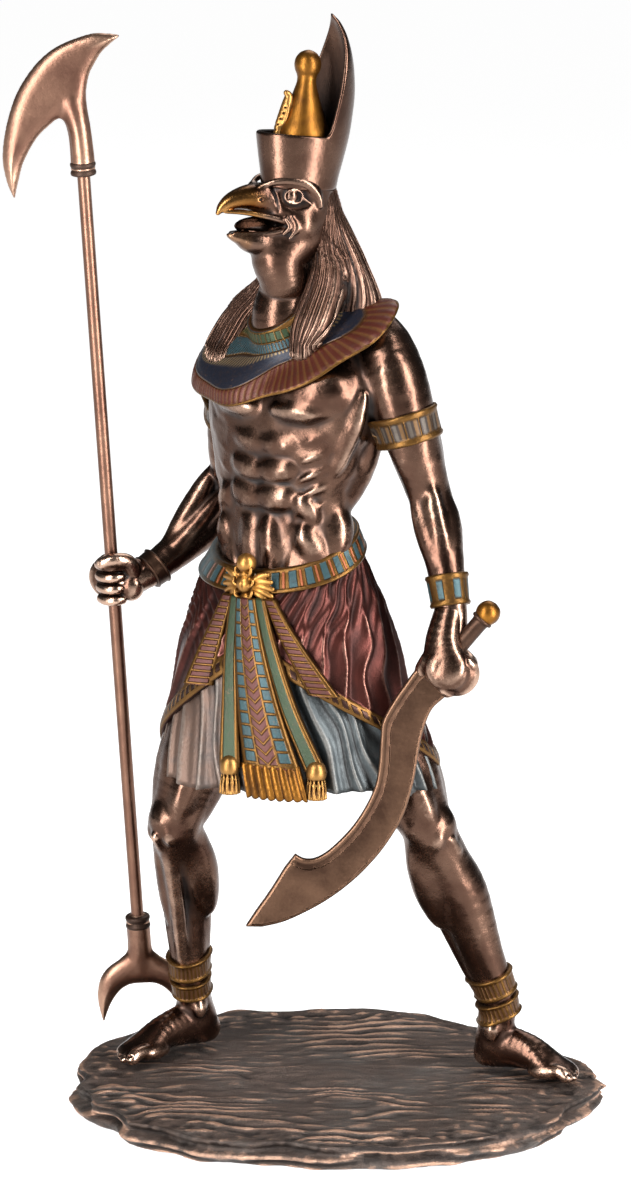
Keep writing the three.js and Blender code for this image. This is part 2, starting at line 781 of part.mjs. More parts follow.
// Stands a shape drawn upright in X and Z on the staff's axis, `up` millimetres above its foot.
function onStaff(geometry, up) {
  const facingUs = vec(0, 0, 0).crossVectors(STAFF_AXIS, STAFF_SIDE);
  geometry.applyMatrix4(new THREE.Matrix4().makeBasis(STAFF_SIDE, facingUs, STAFF_AXIS));
  return geometry.translate(...at(STAFF_FOOT).addScaledVector(STAFF_AXIS, up).toArray());
}

function rod(extra = 0) {
  const radius = ROD_DIAMETER / 2 + extra;
  return solid(onStaff(bar(radius, -SOCKET_DEPTH, ROD_SHOWN + SOCKET_DEPTH), 0));
}

// A flat blade in X and Z with bevelled edges, through stations [x, z, half width].
const FLAT_SHARE = 0.5; // of the blade's width that keeps the full thickness
function blade(stations, thickness, grow = 0) {
  const section = new THREE.CylinderGeometry(1, 1, 1, 6, stations.length - 1).rotateY(Math.PI / 6);
  const deep = (thickness / 2 + grow) / Math.cos(Math.PI / 6) / SCALE;
  return sweep(
    section,
    stations.map(([x, z, wide]) => [x, 0, z, wide + grow / FLAT_SHARE, deep]),
    (t, tangent) => tangent.clone().cross(vec(0, 1, 0)),
  );
}

// A bladed end of the staff, drawn from the mouth of its socket, which opens downwards (1) or upwards (-1).
function staffEnd(blades, place, way) {
  const inside = ROD_DIAMETER / 2 + SEAT_GAP;
  const outside = inside + SOCKET_WALL;
  const ring = bar(outside + SOCKET_WALL / 2, -SOCKET_WALL, SOCKET_WALL);
  const between = (a, b) => [a * way, b * way].sort((low, high) => low - high);
  const neck = bar(outside, ...between(0, SOCKET_DEPTH + NECK));
  const bore = bar(inside, ...between(-NECK, SOCKET_DEPTH + SEAT_GAP));
  const whole = join([...blades, neck, ring].map((shape) => onStaff(shape, place)));
  return whole.subtract(solid(onStaff(bore, place)));
}

const NECK = 3; // how far a neck runs on past the rod's end, into its blade
const CRESCENT = [
  [11.9, 35.4, 0.4],
  [4, 32.8, 3.4],
  [-3.4, 26.6, 6.8],
  [-9.6, 19.6, 7],
  [-14.9, 13, 4.6],
  [-18.3, 5, 3],
  [-19.2, -1.5, 1.7],
  [-19.1, -6.7, 0.3],
];
const CRESCENT_NECK = [
  [0, 0.5, 2.8],
  [-0.2, 10, 2.7],
  [-1.6, 17, 3.8],
  [-3, 24, 5.4],
];
const staffBlade = () =>
  staffEnd([blade(CRESCENT, BLADE_THICKNESS), blade(CRESCENT_NECK, BLADE_THICKNESS)], ROD_SHOWN, 1);

const HORN = [
  [11.7, -29.4, 0.3],
  [10.9, -22.6, 2.1],
  [8.4, -17.6, 3.4],
  [4.6, -15.4, 3.9],
  [0, -14.6, 3.8],
];
const FORK_NECK = [
  [0, -0.5, 3],
  [0, -7, 3.2],
  [0, -14, 5],
];
function staffFork() {
  const horns = [...HORN, ...HORN.slice(0, -1).reverse().map(([x, z, wide]) => [-x, z, wide])];
  return staffEnd([blade(horns, FORK_THICKNESS), blade(FORK_NECK, FORK_THICKNESS)], 0, -1);
}

// Sword

const GRIP = [31.5, -25.5, 125]; // the middle of the handle, from the soles
const GRIP_AXIS = vec(-0.64, 0, -0.768).normalize(); // towards the blade
const SICKLE = [
  [-2.5, -6.5, 3.4],
  [-10.4, -14.4, 4.6],
  [-14.4, -21.4, 5.2],
  [-15.9, -33.8, 5],
  [-20, -45.8, 5.2],
  [-29.2, -57.3, 5.4],
  [-37.6, -62.2, 6.6],
  [-41.8, -63.8, 7.6],
  [-46.8, -68.4, 5.8],
  [-51.8, -72.9, 3.3],
  [-56.5, -76.2, 0.4],
]; // from the middle of the handle

function sword(grow = 0) {
  const turn = new THREE.Quaternion().setFromUnitVectors(UP, GRIP_AXIS.clone().negate());
  const [low, high] = [GRIP_LENGTH * -0.44, GRIP_LENGTH * 0.56];
  const shapes = [
    blade(SICKLE, SWORD_THICKNESS, grow),
    bar(GRIP_DIAMETER / 2 + grow, low, high).applyQuaternion(turn),
    sealed(new THREE.SphereGeometry(POMMEL_DIAMETER / 2 + grow, 8, 6))
      .translate(0, 0, high)
      .applyQuaternion(turn),
  ];
  return join(shapes.map((shape) => shape.translate(...at(GRIP).toArray())));
}

// Rock

const LOBES = [
  [1, 0.018, 4.7],
  [2, 0.035, 0.6],
  [3, 0.014, 0.4],
  [5, 0.012, 2.1],
  [9, 0.01, 0.9],
  [14, 0.008, 4.2],
  [23, 0.006, 1.7],
]; // waves round the edge, their share of the radius, their start
const lobed = (angle) =>
  LOBES.reduce((sum, [waves, share, start]) => sum + share * Math.sin(waves * angle + start), 1);

const ROCK_PROFILE = new THREE.CatmullRomCurve3(
  [
    [0, 1],
    [0.4, 1],
    [0.8, 0.99],
    [0.93, 0.9],
    [0.985, 0.72],
    [0.97, 0.5],
    [1, 0.36],
    [0.985, 0.14],
    [0.96, 0],
  ].map(([radius, height]) => vec(radius, height, 0)), // shares of the base's radius and height
);

function rock() {
  const shape = new THREE.SphereGeometry(1, 28, 8);
  const rings = 6 / 8; // how much of the sphere becomes the top and the rim, the rest is the flat underside
  return warp(shape, (p) => {
    const angle = Math.atan2(p.z, p.x);
    const polar = Math.acos(THREE.MathUtils.clamp(p.y, -1, 1)) / Math.PI;
    const onTop = polar < rings;
    const profile = ROCK_PROFILE.getPoint(Math.min(1, polar / rings));
    const share = onTop ? profile.x : ROCK_PROFILE.getPoint(1).x * ((1 - polar) / (1 - rings));
    const x = (Math.cos(angle) * BASE_LENGTH * share * lobed(angle)) / 2;
    const y = (Math.sin(angle) * BASE_DEPTH * share * lobed(angle)) / 2;
    const ripple = Math.sin(y * 0.42 + Math.sin(x * 0.11)) + Math.sin(x * 0.23 + y * 0.31);
    const dip = ROCK_DIP * (0.5 + 0.25 * ripple) * Math.min(1, share * 3) * (profile.y > 0.85 ? 1 : 0.2);
    const height = onTop && profile.y > 1e-6 ? Math.max(0, profile.y * (BASE_HEIGHT - dip)) : 0;
    return vec(x, -y, height);
  });
}

// Assembly

const RIGHT_BACK = vec(0.25, 0.97, 0);
const rightFist = fist({
  centre: [-61.6, 18.4, 135],
  axis: STAFF_AXIS,
  back: squareTo(RIGHT_BACK, STAFF_AXIS),
  wrist: ARMS.right.wrist,
  bar: ROD_DIAMETER,
  hand: -1,
});
const leftFist = fist({
  centre: vec(...GRIP).addScaledVector(GRIP_AXIS, 4.6).add(vec(1.2, 0, -1)).toArray(),
  axis: GRIP_AXIS,
  back: vec(0, -1, 0),
  wrist: ARMS.left.wrist,
  bar: GRIP_DIAMETER,
  hand: 1,
});
const cuffs = [
  cuff(mix(ARMS.left.fore[1], ARMS.left.wrist, 0.45), mix(ARMS.left.fore[1], ARMS.left.wrist, 1.15), 5.4),
  cuff(mix(ARMS.right.fore[1], ARMS.right.wrist, 0.6), mix(ARMS.right.fore[1], ARMS.right.wrist, 1), 5.2),
  cuff(mix(...ARMS.left.upper, 0.55), mix(...ARMS.left.upper, 1), 9.2),
  cuff(mix(...ARMS.right.upper, 0.55), mix(...ARMS.right.upper, 1), 9.2),
];
const rightHand = [-58, 19.5, 135];
const leftHand = [30.6, -22.5, 129];
const body = join([
  leg(LEGS.right),
  leg(LEGS.left),
  trunk(),
  muscles(),
  collar(),
  arm(ARMS.right, HIPS.front, rightHand),
  arm(ARMS.left, HIPS.front, leftHand),
  cuffs,
  rightFist,
  leftFist,
  head(),
  hair(),
  crown(),
  kilt(),
]);
const below = sealed(new THREE.BoxGeometry(BASE_LENGTH * 2, BASE_LENGTH * 2, BELOW));
below.translate(0, 0, -BELOW / 2);
const carved = filled(body).subtract(join([below, rod(SEAT_GAP), sword(SEAT_GAP)]));
const figure = filled(carved.simplify(SLIVER));

const BRONZE = { color: 0x6b4a3a, metalness: 0.85, roughness: 0.38 };
const STONE = { color: 0x4a3f39, metalness: 0.5, roughness: 0.65 };
const COPPER = { color: 0x8d6653, metalness: 0.85, roughness: 0.42 };
const DULL = { color: 0x70503f, metalness: 0.8, roughness: 0.5 };

const model = new THREE.Group();
function add(name, made, look, lift) {
  const material = new THREE.MeshStandardMaterial({ ...look, flatShading: true });
  const mesh = new THREE.Mesh(geometryOf(made), material);
  mesh.name = name;
  mesh.position.z = lift;
  model.add(mesh);
}
add("rock_base", solid(rock()), STONE, 0);
const STAND = BASE_HEIGHT + SEAT_GAP;
add("figure", figure, BRONZE, STAND);
add("staff_rod", rod(), COPPER, STAND);
add("staff_blade", staffBlade(), COPPER, STAND);
add("staff_fork", staffFork(), COPPER, STAND);
add("sword", sword(), DULL, STAND);

export default model;
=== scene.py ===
"""A bronzed falcon-headed warrior on a rock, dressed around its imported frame.

Shapes are drawn in millimetres from the soles, as the solids are, and turned into metres at the end.
"""

import math

import bpy
import numpy as np
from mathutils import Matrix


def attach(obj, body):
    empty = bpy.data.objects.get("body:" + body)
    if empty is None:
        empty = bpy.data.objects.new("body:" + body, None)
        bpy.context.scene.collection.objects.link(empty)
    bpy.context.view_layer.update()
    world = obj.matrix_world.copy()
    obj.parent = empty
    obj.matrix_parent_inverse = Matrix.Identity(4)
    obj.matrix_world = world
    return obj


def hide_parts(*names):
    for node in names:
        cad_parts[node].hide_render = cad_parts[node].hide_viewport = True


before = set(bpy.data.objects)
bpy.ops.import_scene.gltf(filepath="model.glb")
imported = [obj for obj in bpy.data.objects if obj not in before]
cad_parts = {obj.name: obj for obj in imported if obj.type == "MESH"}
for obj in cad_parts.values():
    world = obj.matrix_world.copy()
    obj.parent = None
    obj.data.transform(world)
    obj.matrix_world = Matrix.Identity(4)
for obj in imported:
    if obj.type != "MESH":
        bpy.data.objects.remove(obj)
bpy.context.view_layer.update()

MM = 0.001
STAND = 8.3  # the soles' height above the underside
UP = np.array([0.0, 0.0, 1.0])
FINE = 1.0  # coarser grids while trying things

# Directions and places


def facing(turn, tilt=0.0):
    """Front, left and up of what faces `turn` degrees clockwise from -Y and looks `tilt` degrees up."""
    a, b = math.radians(turn), math.radians(tilt)
    left = np.array([math.cos(a), -math.sin(a), 0.0])
    front = np.array([-math.sin(a) * math.cos(b), -math.cos(a) * math.cos(b), math.sin(b)])
    return front, left, np.cross(front, left)


HIPS = facing(35)
CHEST = facing(40)
FACE = facing(62, 8)
CROWN = facing(62, 5)


def beside(p, way, ahead, leftward, upward=0.0):
    front, left, up = way
    return np.asarray(p, float) + front * ahead + left * leftward + up * upward


def unit(v):
    v = np.asarray(v, float)
    return v / np.linalg.norm(v)


def square_to(direction, tangent):
    return unit(direction - tangent * np.dot(direction, tangent))


def spline(points, count, loop=False):
    """Catmull-Rom samples through rows of numbers."""
    p = np.asarray(points, float)
    n = len(p)
    t = np.linspace(0, n if loop else n - 1, count, endpoint=not loop)
    i = np.minimum(t.astype(int), n - 1 if loop else n - 2)
    u = (t - i)[:, None]
    at = (lambda k: p[k % n]) if loop else (lambda k: p[np.clip(k, 0, n - 1)])
    a, b, c, d = at(i - 1), at(i), at(i + 1), at(i + 2)
    return b + 0.5 * u * (c - a + u * (2 * a - 5 * b + 4 * c - d + u * (3 * (b - c) + d - a)))


def mix(a, b, t):
    return np.asarray(a, float) + (np.asarray(b, float) - np.asarray(a, float)) * t


SPINE = [(-13.5, 5.5, 138), (-15.3, 5, 156), (-13.5, 3, 176), (-11, 2.5, 192), (-8, 3.5, 204)]


def on_trunk(ahead, leftward, z):
    """A point of the trunk at height z, ahead and left of its axis, upright beyond the spine's ends."""
    zs = [p[2] for p in SPINE]
    axis = [np.interp(z, zs, [p[i] for p in SPINE]) for i in (0, 1)]
    return beside([axis[0], axis[1], z], CHEST, ahead, leftward)


HEAD = np.array([-11.3, 0.0, 240.5])


def on_head(ahead, leftward, upward):
    return beside(HEAD, FACE, ahead, leftward, upward)


CROWN_FOOT = np.array([-10.6, -0.5, 246.0])

# Sculpting with distances


def smin(a, b, k):
    h = np.clip(0.5 + 0.5 * (b - a) / k, 0, 1)
    return b + (a - b) * h - k * h * (1 - h)


def smax(a, b, k):
    return -smin(-a, -b, k)


class Sculpt:
    """A block of signed distances, negative inside, on a grid of `step` millimetres."""

    FAR = 8.0

    def __init__(self, low, high, step):
        self.step = step * FINE
        self.low = np.asarray(low, float)
        count = np.ceil((np.asarray(high, float) - self.low) / self.step).astype(int) + 1
        self.f = np.full(count, self.FAR, np.float32)

    def window(self, low, high):
        first = np.maximum(np.floor((np.asarray(low) - self.low) / self.step).astype(int), 0)
        last = np.minimum(np.ceil((np.asarray(high) - self.low) / self.step).astype(int) + 1, self.f.shape)
        if (last <= first).any():
            return None, None
        cut = tuple(slice(a, b) for a, b in zip(first, last))
        grid = [
            (self.low[i] + self.step * np.arange(first[i], last[i])).astype(np.float32).reshape(
                [-1 if j == i else 1 for j in range(3)]
            )
            for i in range(3)
        ]
        return cut, grid

    def _field(self, parts, reach):
        low = np.min([p[0] for p in parts], 0) - reach
        high = np.max([p[1] for p in parts], 0) + reach
        cut, _ = self.window(low, high)
        if cut is None:
            return None, None
        made = np.full(self.f[cut].shape, self.FAR, np.float32)
        origin = [s.start for s in cut]
        for part_low, part_high, distance in parts:
            inner, grid = self.window(np.asarray(part_low) - reach, np.asarray(part_high) + reach)
            if inner is None:
                continue
            local = tuple(slice(s.start - o, s.stop - o) for s, o in zip(inner, origin))
            made[local] = np.minimum(made[local], distance(*grid))
        return cut, made

    def add(self, parts, k=1.5):
        cut, made = self._field(parts, k + 3)
        if cut is not None:
            self.f[cut] = smin(self.f[cut], made, k)

    def cut(self, parts, k=0.8):
        cut, made = self._field(parts, k + 1)
        if cut is not None:
            self.f[cut] = smax(self.f[cut], -made, k)

    def keep(self, point, normal, k=0.3):
        """Cuts away what lies ahead of a plane."""
        x, y, z = self.everywhere()
        plane = (x - point[0]) * normal[0] + (y - point[1]) * normal[1] + (z - point[2]) * normal[2]
        self.f = smax(self.f, plane.astype(np.float32), k)

    def everywhere(self):
        """The coordinates of the whole grid."""
        return self.window(self.low, self.low + np.array(self.f.shape) * self.step)[1]

    def close(self, reach):
        """Which grid points lie within `reach` of the surface, and their coordinates."""
        near = np.abs(self.f) < reach
        return near, [self.low[i] + self.step * place for i, place in enumerate(np.nonzero(near))]

    def eggs(self, at, rows):
        """Adds ellipsoids: each end as numbers for `at`, then breadth, depth, way across and blend."""
        for start, end, wide, deep, across, blend in rows:
            self.add(egg(at(*start), at(*end), wide, deep, across), blend)

    def uneven(self, amount, size, seed):
        """Lifts and sinks the surface a little, as modelling by hand does."""
        near, (x, y, z) = self.close(2.0)
        self.f[near] += ((noise(x, y, z, seed, size) - 0.5) * 2 * amount).astype(np.float32)

    def blurred(self, reach):
        """How much of the stuff within `reach` millimetres is solid, 0 to 1."""
        share = np.clip(0.5 - self.f / (2 * self.step), 0, 1)
        n = max(1, int(round(reach / self.step / 1.6)))
        for axis in (0, 1, 2) * 2:
            share = np.moveaxis(share, axis, 0)
            padded = np.concatenate([share[:1]] * (n + 1) + [share] + [share[-1:]] * n)
            total = np.cumsum(padded, 0, dtype=np.float32)
            share = np.moveaxis((total[2 * n + 1 :] - total[: -2 * n - 1]) / (2 * n + 1), 0, axis)
        return share

    def sample(self, values, points):
        """Values of a field at points, between grid points."""
        g = (points - self.low) / self.step
        g = np.clip(g, 0, np.array(self.f.shape) - 1.001)
        i = g.astype(int)
        t = g - i
        out = 0
        for dx in (0, 1):
            for dy in (0, 1):
                for dz in (0, 1):
                    w = (t[:, 0] if dx else 1 - t[:, 0]) * (t[:, 1] if dy else 1 - t[:, 1])
                    w = w * (t[:, 2] if dz else 1 - t[:, 2])
                    out = out + w * values[i[:, 0] + dx, i[:, 1] + dy, i[:, 2] + dz]
        return out

    def skin(self):
        """Vertices and quads of the surface."""
        f = self.f
        f[0], f[-1] = self.FAR, self.FAR
        f[:, 0], f[:, -1] = self.FAR, self.FAR
        f[:, :, 0], f[:, :, -1] = self.FAR, self.FAR
        shape = np.array(f.shape)
        strides = np.array([shape[1] * shape[2], shape[2], 1])
        cells, spots, quads = [], [], []
        for axis in range(3):
            u, v = (axis + 1) % 3, (axis + 2) % 3
            a = np.moveaxis(f, axis, 0)[:-1]
            b = np.moveaxis(f, axis, 0)[1:]
            cross = (a < 0) != (b < 0)
            where = np.argwhere(cross)
            fa, fb = a[cross], b[cross]
            order = [axis] + [k for k in range(3) if k != axis]
            index = np.empty_like(where)
            for column, k in enumerate(order):
                index[:, k] = where[:, column]
            spot = index.astype(float)
            spot[:, axis] += fa / (fa - fb)
            corners = []
            for du, dv in ((-1, -1), (0, -1), (0, 0), (-1, 0)):
                cell = index.copy()
                cell[:, u] += du
                cell[:, v] += dv
                corners.append(cell @ strides)
            for c in corners:
                cells.append(c)
                spots.append(spot)
            quad = np.stack(corners, 1)
            quad[fa > 0] = quad[fa > 0][:, ::-1]
            quads.append(quad)
        cells, spots, quads = np.concatenate(cells), np.concatenate(spots), np.concatenate(quads)
        ids, place = np.unique(cells, return_inverse=True)
        count = np.bincount(place)
        verts = np.stack([np.bincount(place, spots[:, i]) / count for i in range(3)], 1)
        faces = np.searchsorted(ids, quads)
        return verts * self.step + self.low, faces


def ball(c, r):
    c = np.asarray(c, float)

    def distance(x, y, z):
        return np.sqrt((x - c[0]) ** 2 + (y - c[1]) ** 2 + (z - c[2]) ** 2) - r

    return [(c - r, c + r, distance)]


def cone(a, b, ra, rb, flat=None):
    """A bar with round ends. `flat` = (direction, share) thins or thickens it that way."""
    a, b = np.asarray(a, float), np.asarray(b, float)
    d = b - a
    length = float(d @ d) or 1e-9
    r = max(ra, rb) * (max(1.0, flat[1]) if flat else 1.0)

    def distance(x, y, z):
        px, py, pz = x - a[0], y - a[1], z - a[2]
        t = np.clip((px * d[0] + py * d[1] + pz * d[2]) / length, 0, 1)
        qx, qy, qz = px - t * d[0], py - t * d[1], pz - t * d[2]
        if flat is None:
            return np.sqrt(qx * qx + qy * qy + qz * qz) - (ra + (rb - ra) * t)
        n, share = flat
        s = (qx * n[0] + qy * n[1] + qz * n[2]) * (1 / share - 1)
        qx, qy, qz = qx + s * n[0], qy + s * n[1], qz + s * n[2]
        return (np.sqrt(qx * qx + qy * qy + qz * qz) - (ra + (rb - ra) * t)) * min(1.0, share)

    return [(np.minimum(a, b) - r, np.maximum(a, b) + r, distance)]


def egg(a, b, wide, deep, across):
    """An ellipsoid from a to b, `wide` along `across` and `deep` square to both."""
    a, b = np.asarray(a, float), np.asarray(b, float)
    c, half = (a + b) / 2, np.linalg.norm(b - a) / 2
    e0 = unit(b - a)
    e1 = square_to(np.asarray(across, float), e0)
    e2 = np.cross(e0, e1)
    axes, sizes = (e0, e1, e2), (half, wide, deep)
    reach = np.sqrt(sum((e * s) ** 2 for e, s in zip(axes, sizes)))

    def distance(x, y, z):
        px, py, pz = x - c[0], y - c[1], z - c[2]
        k0 = k1 = 0
        for e, s in zip(axes, sizes):
            q = px * e[0] + py * e[1] + pz * e[2]
            k0 = k0 + (q / s) ** 2
            k1 = k1 + (q / s**2) ** 2
        k0 = np.sqrt(k0)
        return k0 * (k0 - 1) / np.maximum(np.sqrt(k1), 1e-6)

    return [(c - reach, c + reach, distance)]


def tube(rows, per=5, across=None):
    """A limb through stations [x, y, z, radius] or, with `across`, [x, y, z, wide, deep]."""
    s = spline(rows, per * (len(rows) - 1) + 1)
    parts = []
    for p, q in zip(s, s[1:]):
        if across is None:
            parts += cone(p[:3], q[:3], p[3], q[3])
        else:
            tangent = unit(q[:3] - p[:3])
            side = square_to(np.asarray(across, float), tangent)
            through = np.cross(side, tangent)
            share = (p[4] + q[4]) / (p[3] + q[3])
            parts += cone(p[:3], q[:3], p[3], q[3], (through, share))
    return parts


def strand(points, radii, per=4):
    """A thread through points, with one radius or one for each."""
    radii = [radii] * len(points) if np.isscalar(radii) else radii
    return tube([[*p, r] for p, r in zip(points, radii)], per)


def spots(at, *rows):
    """Points from the numbers that `at` takes."""
    return [at(*row) for row in rows]


def stations(at, rows):
    """Stations whose first three numbers are for `at`."""
    return [(*at(*row[:3]), *row[3:]) for row in rows]


def stack(rows, way, power=2.0):
    """Level oval sections through rows [x, y, z, wide, deep]."""
    rows = np.asarray(rows, float)
    rows = rows[np.argsort(rows[:, 2])]
    dense = spline(rows, 8 * len(rows))
    front, left, _ = way
    reach = rows[:, 3].max()
    low = rows[:, :3].min(0) - [reach, reach, 0]
    high = rows[:, :3].max(0) + [reach, reach, 0]

    def distance(x, y, z):
        zf = z.ravel()
        cx, cy, w, d = (
            np.interp(zf, dense[:, 2], dense[:, i]).reshape(z.shape).astype(np.float32)
            for i in (0, 1, 3, 4)
        )
        dx, dy = x - cx, y - cy
        u = np.abs(dx * left[0] + dy * left[1]) / w
        v = np.abs(dx * front[0] + dy * front[1]) / d
        k0 = (u**power + v**power) ** (1 / power)
        side = (k0 - 1) * np.minimum(w, d) * 1.05
        ends = np.maximum(rows[0, 2] - z, z - rows[-1, 2])
        return np.maximum(side, ends)

    return [(low, high, distance)]


# Meshes


def shown(name, mesh):
    mesh.polygons.foreach_set("use_smooth", np.full(len(mesh.polygons), True))
    made = bpy.data.objects.new(name, mesh)
    bpy.context.scene.collection.objects.link(made)
    return made


def mesh_object(name, verts, faces):
    """An object from vertices in millimetres above the soles."""
    verts = (np.asarray(verts, float) + [0, 0, STAND]) * MM
    faces = np.asarray(faces)
    mesh = bpy.data.meshes.new(name)
    mesh.vertices.add(len(verts))
    mesh.vertices.foreach_set("co", verts.astype(np.float32).ravel())
    sides = faces.shape[1]
    mesh.loops.add(faces.size)
    mesh.loops.foreach_set("vertex_index", faces.astype(np.int32).ravel())
    mesh.polygons.add(len(faces))
    mesh.polygons.foreach_set("loop_start", np.arange(0, faces.size, sides, dtype=np.int32))
    mesh.polygons.foreach_set("loop_total", np.full(len(faces), sides, np.int32))
    mesh.update(calc_edges=True)
    mesh.validate()
    return shown(name, mesh)


def thinned(made, most):
    """Collapses a mesh to at most `most` triangles."""
    count = sum(len(p.vertices) - 2 for p in made.data.polygons)
    if count <= most:
        return made
    modifier = made.modifiers.new("thin", "DECIMATE")
    modifier.ratio = most / count
    graph = bpy.context.evaluated_depsgraph_get()
    mesh = bpy.data.meshes.new_from_object(made.evaluated_get(graph))
    made.modifiers.clear()
    old = made.data
    made.data = mesh
    bpy.data.meshes.remove(old)
    mesh.polygons.foreach_set("use_smooth", np.full(len(mesh.polygons), True))
    return made


def places(made):
    """Vertices in millimetres above the soles."""
    co = np.empty(len(made.data.vertices) * 3, np.float32)
    made.data.vertices.foreach_get("co", co)
    return co.reshape(-1, 3) / MM - [0, 0, STAND]


def moved(made, p):
    """Puts vertices at places in millimetres above the soles."""
    made.data.vertices.foreach_set("co", ((p + [0, 0, STAND]) * MM).astype(np.float32).ravel())
    made.data.update()


def number(made, name, values):
    """Stores a number at each vertex, for the materials."""
    layer = made.data.attributes.new(name, "FLOAT", "POINT")
    layer.data.foreach_set("value", np.asarray(values, np.float32))


def evened(grid, step=1, down=True):
    """A grid that goes round, each value blended with those `step` columns away and one row away."""
    grid = (np.roll(grid, step, -1) + grid + np.roll(grid, -step, -1)) / 3
    if down:
        grid = (np.vstack([grid[:1], grid[:-1]]) + grid + np.vstack([grid[1:], grid[-1:]])) / 3
    return grid


def piece(made, material, node="figure"):
    made.data.materials.clear()
    made.data.materials.append(material)
    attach(made, "root")
    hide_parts(node)
    return made


def sculpted(name, block, most, material, paint=None, node="figure"):
    """A mesh of a sculpted block, with how hollow and how proud each place is."""
    verts, faces = block.skin()
    made = thinned(mesh_object(name, verts, faces), most)
    p = places(made)
    fine = block.sample(block.blurred(1.0), p)
    broad = block.sample(block.blurred(2.8), p)
    number(made, "hollow", np.clip((fine - 0.5) * 3.2 + (broad - 0.5) * 3.0, -1, 1))
    if paint is not None:
        paint(made, p)
    return piece(made, material, node)


def noise(x, y, z, seed, size):
    """Smooth value noise from 0 to 1 with blobs of about `size` millimetres."""
    rng = np.random.default_rng(seed)
    table = rng.random((32, 32, 32)).astype(np.float32)
    g = [np.asarray(v, float) / size + 1000 for v in (x, y, z)]
    i = [np.floor(v).astype(int) for v in g]
    t = [v - k for v, k in zip(g, i)]
    t = [v * v * (3 - 2 * v) for v in t]
    out = 0
    for dx in (0, 1):
        for dy in (0, 1):
            for dz in (0, 1):
                w = (t[0] if dx else 1 - t[0]) * (t[1] if dy else 1 - t[1]) * (t[2] if dz else 1 - t[2])
                out = out + w * table[(i[0] + dx) % 32, (i[1] + dy) % 32, (i[2] + dz) % 32]
    return out


def grid_faces(rows, columns, loop=False):
    """Quads of a grid of vertices, row by row. `loop` joins the last column to the first."""
    r = np.arange(rows - 1)[:, None]
    c = np.arange(columns if loop else columns - 1)[None, :]
    n = (c + 1) % columns
    quads = np.stack([r * columns + c, r * columns + n, (r + 1) * columns + n, (r + 1) * columns + c], -1)
    return quads.reshape(-1, 4)


def closed_patch(name, outer, inner):
    """A thick sheet between two grids [rows, columns, 3], with its rims closed. `outer` faces out when its
    rows and columns turn anticlockwise as seen from outside."""
    rows, columns, _ = outer.shape
    n = rows * columns
    face = grid_faces(rows, columns)
    back = face[:, ::-1] + n
    i = np.arange(n).reshape(rows, columns)
    rim = np.concatenate([i[0, :-1], i[:-1, -1], i[-1, :0:-1], i[:0:-1, 0]])
    after = np.roll(rim, -1)
    side = np.stack([after, rim, rim + n, after + n], 1)
    verts = np.concatenate([outer.reshape(-1, 3), inner.reshape(-1, 3)])
    return mesh_object(name, verts, np.concatenate([face, back, side]))


def closed_loft(name, rings):
    """A closed body through rings [rows, around, 3], its ends filled by points in their middles."""
    rows, around, _ = rings.shape
    verts = np.concatenate([rings.reshape(-1, 3), rings[0].mean(0)[None], rings[-1].mean(0)[None]])
    i = np.arange(around)
    j = (i + 1) % around
    first, last, top = rows * around, rows * around + 1, (rows - 1) * around
    low = np.stack([np.full(around, first), j, i], 1)
    high = np.stack([np.full(around, last), top + i, top + j], 1)
    faces = [*grid_faces(rows, around, loop=True).tolist(), *low.tolist(), *high.tolist()]
    mesh = bpy.data.meshes.new(name)
    mesh.from_pydata(((verts + [0, 0, STAND]) * MM).tolist(), [], faces)
    mesh.validate()
    return shown(name, mesh)


# Materials


def rgb(code):
    """A colour from its usual six hexadecimal digits."""
    parts = [int(code[i : i + 2], 16) / 255 for i in (0, 2, 4)]
    return [c / 12.92 if c <= 0.04045 else ((c + 0.055) / 1.055) ** 2.4 for c in parts]


class Value:
    """A number inside a material, which takes part in sums like any other."""

    def __init__(self, tree, socket):
        self.tree = tree
        self.socket = socket

    def _of(self, operation, *others, clamp=False):
        node = self.tree.nodes.new("ShaderNodeMath")
        node.operation = operation
        node.use_clamp = clamp
        for entry, value in zip(node.inputs, (self, *others)):
            if isinstance(value, Value):
                self.tree.links.new(value.socket, entry)
            else:
                entry.default_value = value
        return Value(self.tree, node.outputs[0])

    def __add__(self, other):
        return self._of("ADD", other)

    def __sub__(self, other):
        return self._of("SUBTRACT", other)

    def __mul__(self, other):
        return self._of("MULTIPLY", other)

    def __truediv__(self, other):
        return self._of("DIVIDE", other)

    __radd__ = __add__
    __rmul__ = __mul__

    def __rsub__(self, other):
        return self * -1 + other

    def most(self, other):
        return self._of("MAXIMUM", other)

    def size(self):
        return self._of("ABSOLUTE")

    def part(self):
        """What is left above the next whole number below."""
        return self._of("FRACT")

    def ramp(self, low, high):
        """0 at `low` and 1 at `high`, straight between and level beyond."""
        return (self - low)._of("DIVIDE", high - low, clamp=True)

    def over(self, edge, soft=0.08):
        return self.ramp(edge - soft, edge + soft)

    def within(self, low, high, soft=0.08):
        return self.over(low, soft) * (1 - self.over(high, soft))


